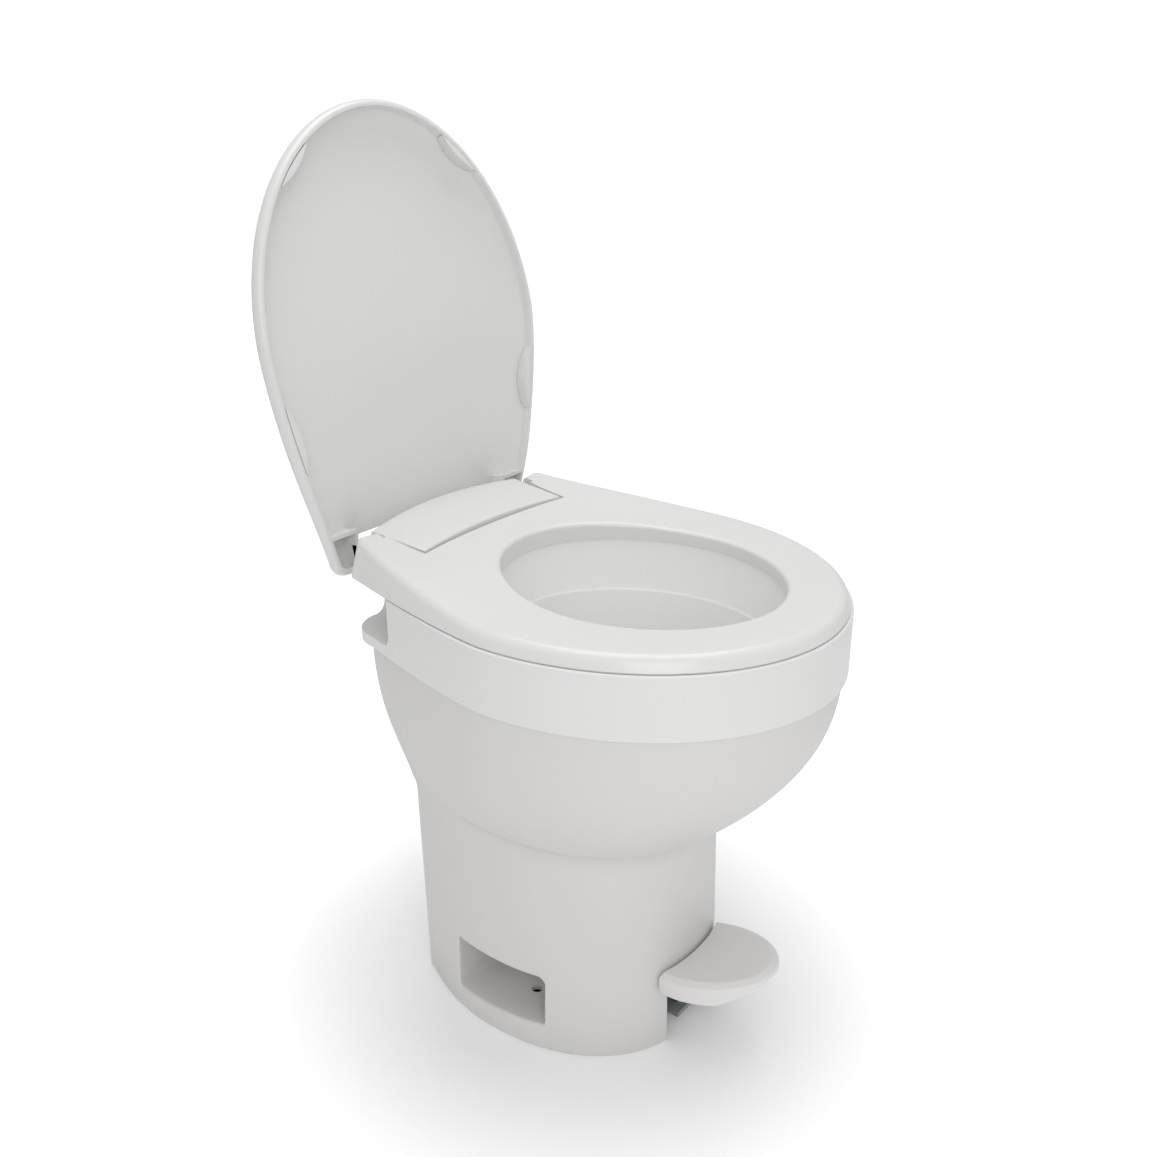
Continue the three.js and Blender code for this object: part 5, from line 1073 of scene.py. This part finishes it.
def make_lid():
    s = sizes()
    plan, low, rear, top = lid_plan(), seat_bottom() - OVERRUN, s.lid_rear + OVERRUN, seat_top_rear() + 60 * MM
    rib, round_in = LID_RIB, 0.6 * MM
    first = [plan_ring(plan, low, s.lid_lip - round_in), plan_ring(plan, above_lip(0), s.lid_lip - round_in),
             plan_ring(plan, above_lip(0.3 * round_in), s.lid_lip - 0.3 * round_in),
             plan_ring(plan, above_lip(round_in), s.lid_lip)]
    hollow = lid_inner(0, first)
    for side in (-1, 1):
        cut(hollow, block(side * ARM_X[0], side * ARM_X[1], rib[0], rear, low - 10 * MM, top),
            block(side * ARM_X[0], side * s.seat_width, *rib, low - 10 * MM, top))
    lid = cut(lid_outer(), hollow, block(-ARM_X[0], ARM_X[0], LID_MIDDLE_END, rear, low, top))
    arm_top = seat_top_rear() + s.lid_gap + 3 * MM
    for side in (-1, 1):
        combine(lid, across(side, ARM_X, ARM_RADIUS, 96), "UNION")
        arm_front = s.hinge_y - ARM_RADIUS
        arm = block(side * ARM_X[0], side * ARM_X[1], arm_front, s.seat_rear, s.hinge_z, arm_top)
        combine(lid, arm, "UNION")
        cut(lid, across(side, (ARM_X[0] - 1 * MM, ARM_X[1] + 1 * MM), PIN_BORE))
    lid.name = "lid"
    return settle(turn(lid, LID_OPEN, (0, s.hinge_y, s.hinge_z)), "lid", "seat_plastic", "lid_shell")


# Shares of the seat's half width and front reach
PAD_PLACES = [(0.57, -0.6285), (0.87, 0.41)]
PAD_GAP = 0.8 * MM
PAD_RADIUS = 80 * MM
PAD_SETBACK = 6 * MM


def make_lid_pads():
    """Bosses between the edge's inner wall and the dish, level with the lip."""
    s = sizes()
    plan, gap = lid_plan(), PAD_GAP
    pads = []
    for across_share, along_share in PAD_PLACES:
        for side in (-1, 1):
            x, y = side * across_share * s.seat_width / 2, along_share * s.seat_front
            pad = lid_inner(gap, lip_rings([120 * MM, 60 * MM, 30 * MM, 12 * MM, s.lid_lip + gap]))
            outward = Vector((x / plan["half_width"] ** 2, (y - plan["middle"]) / plan["front"] ** 2))
            outward.normalize()
            middle = Vector((x, y)) + outward * (PAD_RADIUS - PAD_SETBACK)
            ends = [(*middle, z) for z in (seat_bottom(), seat_top_rear() + 40 * MM)]
            combine(pad, bar(*ends, PAD_RADIUS, 400), "INTERSECT")
            bevel = pad.modifiers.new("edges", "BEVEL")
            bevel.width, bevel.segments, bevel.angle_limit = 0.4 * MM, 3, math.radians(40)
            choose(pad)
            bpy.ops.object.modifier_apply(modifier=bevel.name)
            pad.name = f"lid_boss_{len(pads) + 1}"
            turn(pad, LID_OPEN, (0, s.hinge_y, s.hinge_z))
            pads.append(settle(pad, "lid", "seat_plastic", f"lid_pad_{len(pads) + 1}"))
    return pads


# Pedal


PEDAL = {
    "half_width": 54 * MM, "reach": 72 * MM, "middle": -94 * MM, "top": 77 * MM, "skirt": 21.5 * MM,
    "chamfer": 6 * MM, "drop": 3.5 * MM, "tip": -166 * MM,
}
PEDAL_TILT = -11
# The pedal is turned to these angles from its rest, and cut clear of the base at each
PEDAL_SWEEP = (11, 2, -7)


def make_pedal():
    s = sizes()
    oval = {"half_width": PEDAL["half_width"], "front": PEDAL["reach"], "rear": PEDAL["reach"],
            "middle": PEDAL["middle"], "power": 2}
    bottom, top, chamfer, edge = PEDAL["top"] - PEDAL["skirt"], PEDAL["top"], PEDAL["chamfer"], 0.8 * MM
    side_top = top - PEDAL["drop"]
    rings = [oval_ring(oval, z, inset) for z, inset in (
        (bottom, edge), (bottom + edge, 0), (side_top - 1 * MM, 0), (side_top - 0.3 * MM, 0.3 * MM),
        (side_top + 0.2 * MM, 1 * MM), (top - 0.3 * MM, chamfer - edge), (top, chamfer + 0.4 * MM),
    )]
    pedal = skin("pedal", rings)
    pivot = (0, s.pivot_y, s.pivot_z)
    for angle in PEDAL_SWEEP:
        wall = skin("wall", [plan_ring(base_plan(0), z, -1.5 * MM) for z in (-OVERRUN, s.neck_height)])
        cut(pedal, turn(wall, angle, pivot))
    tip, flat = PEDAL["tip"], PEDAL["middle"] - PEDAL["reach"] * 0.48
    tip_z, beside = side_top - 4 * MM, PEDAL["half_width"] + 10 * MM
    outline = [(flat, bottom), (tip, tip_z), (tip - OVERRUN, tip_z), (tip - OVERRUN, bottom - OVERRUN),
               (flat, bottom - OVERRUN)]
    cut(pedal, skin("under", [[Vector((x, y, z)) for y, z in outline] for x in (-beside, beside)]))
    # The pedal wears the lighter copy of the body's plastic: painted light
    return settle(turn(pedal, PEDAL_TILT, pivot), "pedal", "body_plastic", "pedal_pad", angle=14,
                  finish="pedal_satin_painted_light")


# Studio


PHOTO_WIDTH, PHOTO_HEIGHT = 1158, 1157
PHOTO_FOCAL = 1249.0
SENSOR = 36.0
CAMERA_PLACE = (-846.823 * MM, -581.491 * MM, 863.307 * MM)
CAMERA_DOWN = 21.974
CAMERA_TURN = -52.789
# The floor shows its shadow up to the first of these distances and is plain white from the second
SHADOW_NEAR = 160 * MM
SHADOW_FAR = 500 * MM
# How much of the near floor glows by itself, which keeps its shadows soft
FLOOR_GLOW = 0.05


def make_camera():
    camera = bpy.data.objects.new("camera", bpy.data.cameras.new("camera"))
    bpy.context.scene.collection.objects.link(camera)
    camera.location = Vector(CAMERA_PLACE) + SHIFT
    camera.rotation_euler = (math.radians(90 - CAMERA_DOWN), 0, math.radians(CAMERA_TURN))
    camera.data.sensor_width = SENSOR
    camera.data.lens = PHOTO_FOCAL / PHOTO_WIDTH * SENSOR
    camera.data.clip_start, camera.data.clip_end = 0.05, 50
    bpy.context.scene.camera = camera


def soft_light(name, place, target, size, power):
    """A large square lamp that faces the toilet."""
    lamp = bpy.data.objects.new(name, bpy.data.lights.new(name, "AREA"))
    bpy.context.scene.collection.objects.link(lamp)
    lamp.location = place
    lamp.rotation_euler = (Vector(target) - Vector(place)).to_track_quat("-Z", "Y").to_euler()
    lamp.data.size = size
    lamp.data.energy = power


def make_lamps():
    """A weak key from the camera's side, a small fill for the pedal and a soft light above."""
    soft_light("key", (-1.7, -1.5, 1.7), (0, 0, 0.3), 1.2, 13)
    soft_light("fill", (-0.55, -0.75, 0.5), (0, -0.15, 0.08), 0.5, 0.5)
    soft_light("top", (0.25, 0.12, 2.2), (0, -0.05, 0.4), 1.4, 15)


def make_world():
    """White to the camera; a softer white as light and in gloss."""
    world = bpy.data.worlds.new("studio")
    bpy.context.scene.world = world
    world.use_nodes = True
    tree = world.node_tree
    tree.nodes.clear()
    path = add_node(tree, "ShaderNodeLightPath")
    light = add_node(tree, "ShaderNodeBackground", {"Color": (1, 1, 1, 1), "Strength": 0.57})
    white = add_node(tree, "ShaderNodeBackground", {"Color": (1, 1, 1, 1), "Strength": 1.0})
    mix = add_node(tree, "ShaderNodeMixShader", None,
                   {0: path.outputs["Is Camera Ray"], 1: light.outputs[0], 2: white.outputs[0]})
    output = add_node(tree, "ShaderNodeOutputWorld")
    tree.links.new(mix.outputs[0], output.inputs["Surface"])
    bpy.context.scene.view_settings.view_transform = "Standard"


def make_floor():
    """A white floor that keeps the soft shadow near the toilet and runs into the white surroundings."""
    material, tree, output = new_material("studio_floor")
    place = add_node(tree, "ShaderNodeTexCoord").outputs["Object"]
    cloud = add_node(tree, "ShaderNodeTexNoise", {"Scale": 3.0}, {"Vector": place})
    tone = add_node(tree, "ShaderNodeMix", {"data_type": "RGBA", 6: (0.97, 0.97, 0.97, 1), 7: (1, 1, 1, 1)},
                    {0: cloud.outputs["Fac"]})
    matt = add_node(tree, "ShaderNodeBsdfDiffuse", None, {"Color": tone.outputs[2]})
    glow = add_node(tree, "ShaderNodeEmission", {"Color": (1, 1, 1, 1), "Strength": 1.25})
    reach = add_node(tree, "ShaderNodeVectorMath", {"operation": "LENGTH"}, {0: place})
    white = add_node(tree, "ShaderNodeMapRange",
                     {"interpolation_type": "SMOOTHSTEP", "From Min": SHADOW_NEAR, "From Max": SHADOW_FAR,
                      "To Min": FLOOR_GLOW, "To Max": 1.0}, {"Value": reach.outputs["Value"]})
    path = add_node(tree, "ShaderNodeLightPath")
    share = add_node(tree, "ShaderNodeMath", {"operation": "MULTIPLY"},
                     {0: path.outputs["Is Camera Ray"], 1: white.outputs[0]})
    mix = add_node(tree, "ShaderNodeMixShader", None,
                   {0: share.outputs[0], 1: matt.outputs[0], 2: glow.outputs[0]})
    tree.links.new(mix.outputs[0], output.inputs["Surface"])
    clear_selection()
    bpy.ops.mesh.primitive_circle_add(vertices=96, radius=6, fill_type="NGON", location=(0, 0, -0.0002))
    floor = bpy.context.object
    bpy.ops.object.transform_apply(location=True, rotation=True, scale=True)
    floor.name = "floor"
    floor.data.materials.append(material)


# Operators


class TOILET_OT_materials(Operator):
    """Makes the finishes and gives each CAD node its own"""

    bl_idname = "toilet.materials"
    bl_label = "Finishes"

    def execute(self, context):
        finishes.update(make_materials(context.scene.toilet_colours))
        for row in frame["record"]["subparts"]:
            node = frame["nodes"][row["node"]]
            node.data.materials.clear()
            node.data.materials.append(finishes[row["material_slot"]])
        return {"FINISHED"}


class TOILET_OT_pedestal(Operator):
    """Makes the pedestal's skin with its side pockets"""

    bl_idname = "toilet.pedestal"
    bl_label = "Pedestal"

    def execute(self, context):
        make_pedestal()
        return {"FINISHED"}


class TOILET_OT_rim(Operator):
    """Makes the rim's skirt with its rear shelves"""

    bl_idname = "toilet.rim"
    bl_label = "Rim"

    def execute(self, context):
        make_rim()
        return {"FINISHED"}


class TOILET_OT_bowl(Operator):
    """Makes the bowl with its inner ledge"""

    bl_idname = "toilet.bowl"
    bl_label = "Bowl"

    def execute(self, context):
        make_bowl()
        return {"FINISHED"}


class TOILET_OT_hinge_cover(Operator):
    """Makes the cover between the seat's ears"""

    bl_idname = "toilet.hinge_cover"
    bl_label = "Hinge cover"

    def execute(self, context):
        make_hinge_cover()
        return {"FINISHED"}


class TOILET_OT_seat(Operator):
    """Makes the contoured seat"""

    bl_idname = "toilet.seat"
    bl_label = "Seat"

    def execute(self, context):
        make_seat()
        return {"FINISHED"}


class TOILET_OT_lid(Operator):
    """Makes the dished lid, leaning open"""

    bl_idname = "toilet.lid"
    bl_label = "Lid"

    def execute(self, context):
        make_lid()
        return {"FINISHED"}


class TOILET_OT_lid_pads(Operator):
    """Makes the four bosses inside the lid's rim"""

    bl_idname = "toilet.lid_pads"
    bl_label = "Lid pads"

    def execute(self, context):
        make_lid_pads()
        return {"FINISHED"}


class TOILET_OT_pedal(Operator):
    """Makes the foot pedal"""

    bl_idname = "toilet.pedal"
    bl_label = "Pedal"

    def execute(self, context):
        make_pedal()
        return {"FINISHED"}


class TOILET_OT_stage(Operator):
    """Makes the floor, lamps, white surroundings and camera"""

    bl_idname = "toilet.stage"
    bl_label = "Studio"

    def execute(self, context):
        make_floor()
        make_lamps()
        make_world()
        make_camera()
        return {"FINISHED"}


OPERATORS = [
    TOILET_OT_materials, TOILET_OT_pedestal, TOILET_OT_rim, TOILET_OT_bowl, TOILET_OT_hinge_cover,
    TOILET_OT_seat, TOILET_OT_lid, TOILET_OT_lid_pads, TOILET_OT_pedal, TOILET_OT_stage,
]


class TOILET_PT_panel(Panel):
    """Lists the builders in the sidebar"""

    bl_label = "RV toilet"
    bl_idname = "TOILET_PT_panel"
    bl_space_type = "VIEW_3D"
    bl_region_type = "UI"
    bl_category = "RV toilet"

    def draw(self, context):
        for operator in OPERATORS:
            self.layout.operator(operator.bl_idname)


CLASSES = [ToiletSizes, ToiletColours, *OPERATORS, TOILET_PT_panel]


def register():
    for each in CLASSES:
        bpy.utils.register_class(each)
    bpy.types.Scene.toilet_sizes = PointerProperty(type=ToiletSizes)
    bpy.types.Scene.toilet_colours = PointerProperty(type=ToiletColours)


def unregister():
    del bpy.types.Scene.toilet_sizes
    del bpy.types.Scene.toilet_colours
    for each in reversed(CLASSES):
        bpy.utils.unregister_class(each)


def main():
    register()
    bpy.ops.toilet.materials()
    bpy.ops.toilet.pedestal()
    bpy.ops.toilet.rim()
    bpy.ops.toilet.bowl()
    bpy.ops.toilet.hinge_cover()
    bpy.ops.toilet.seat()
    bpy.ops.toilet.lid()
    bpy.ops.toilet.lid_pads()
    bpy.ops.toilet.pedal()
    bpy.ops.toilet.stage()


if __name__ == "__main__":
    main()
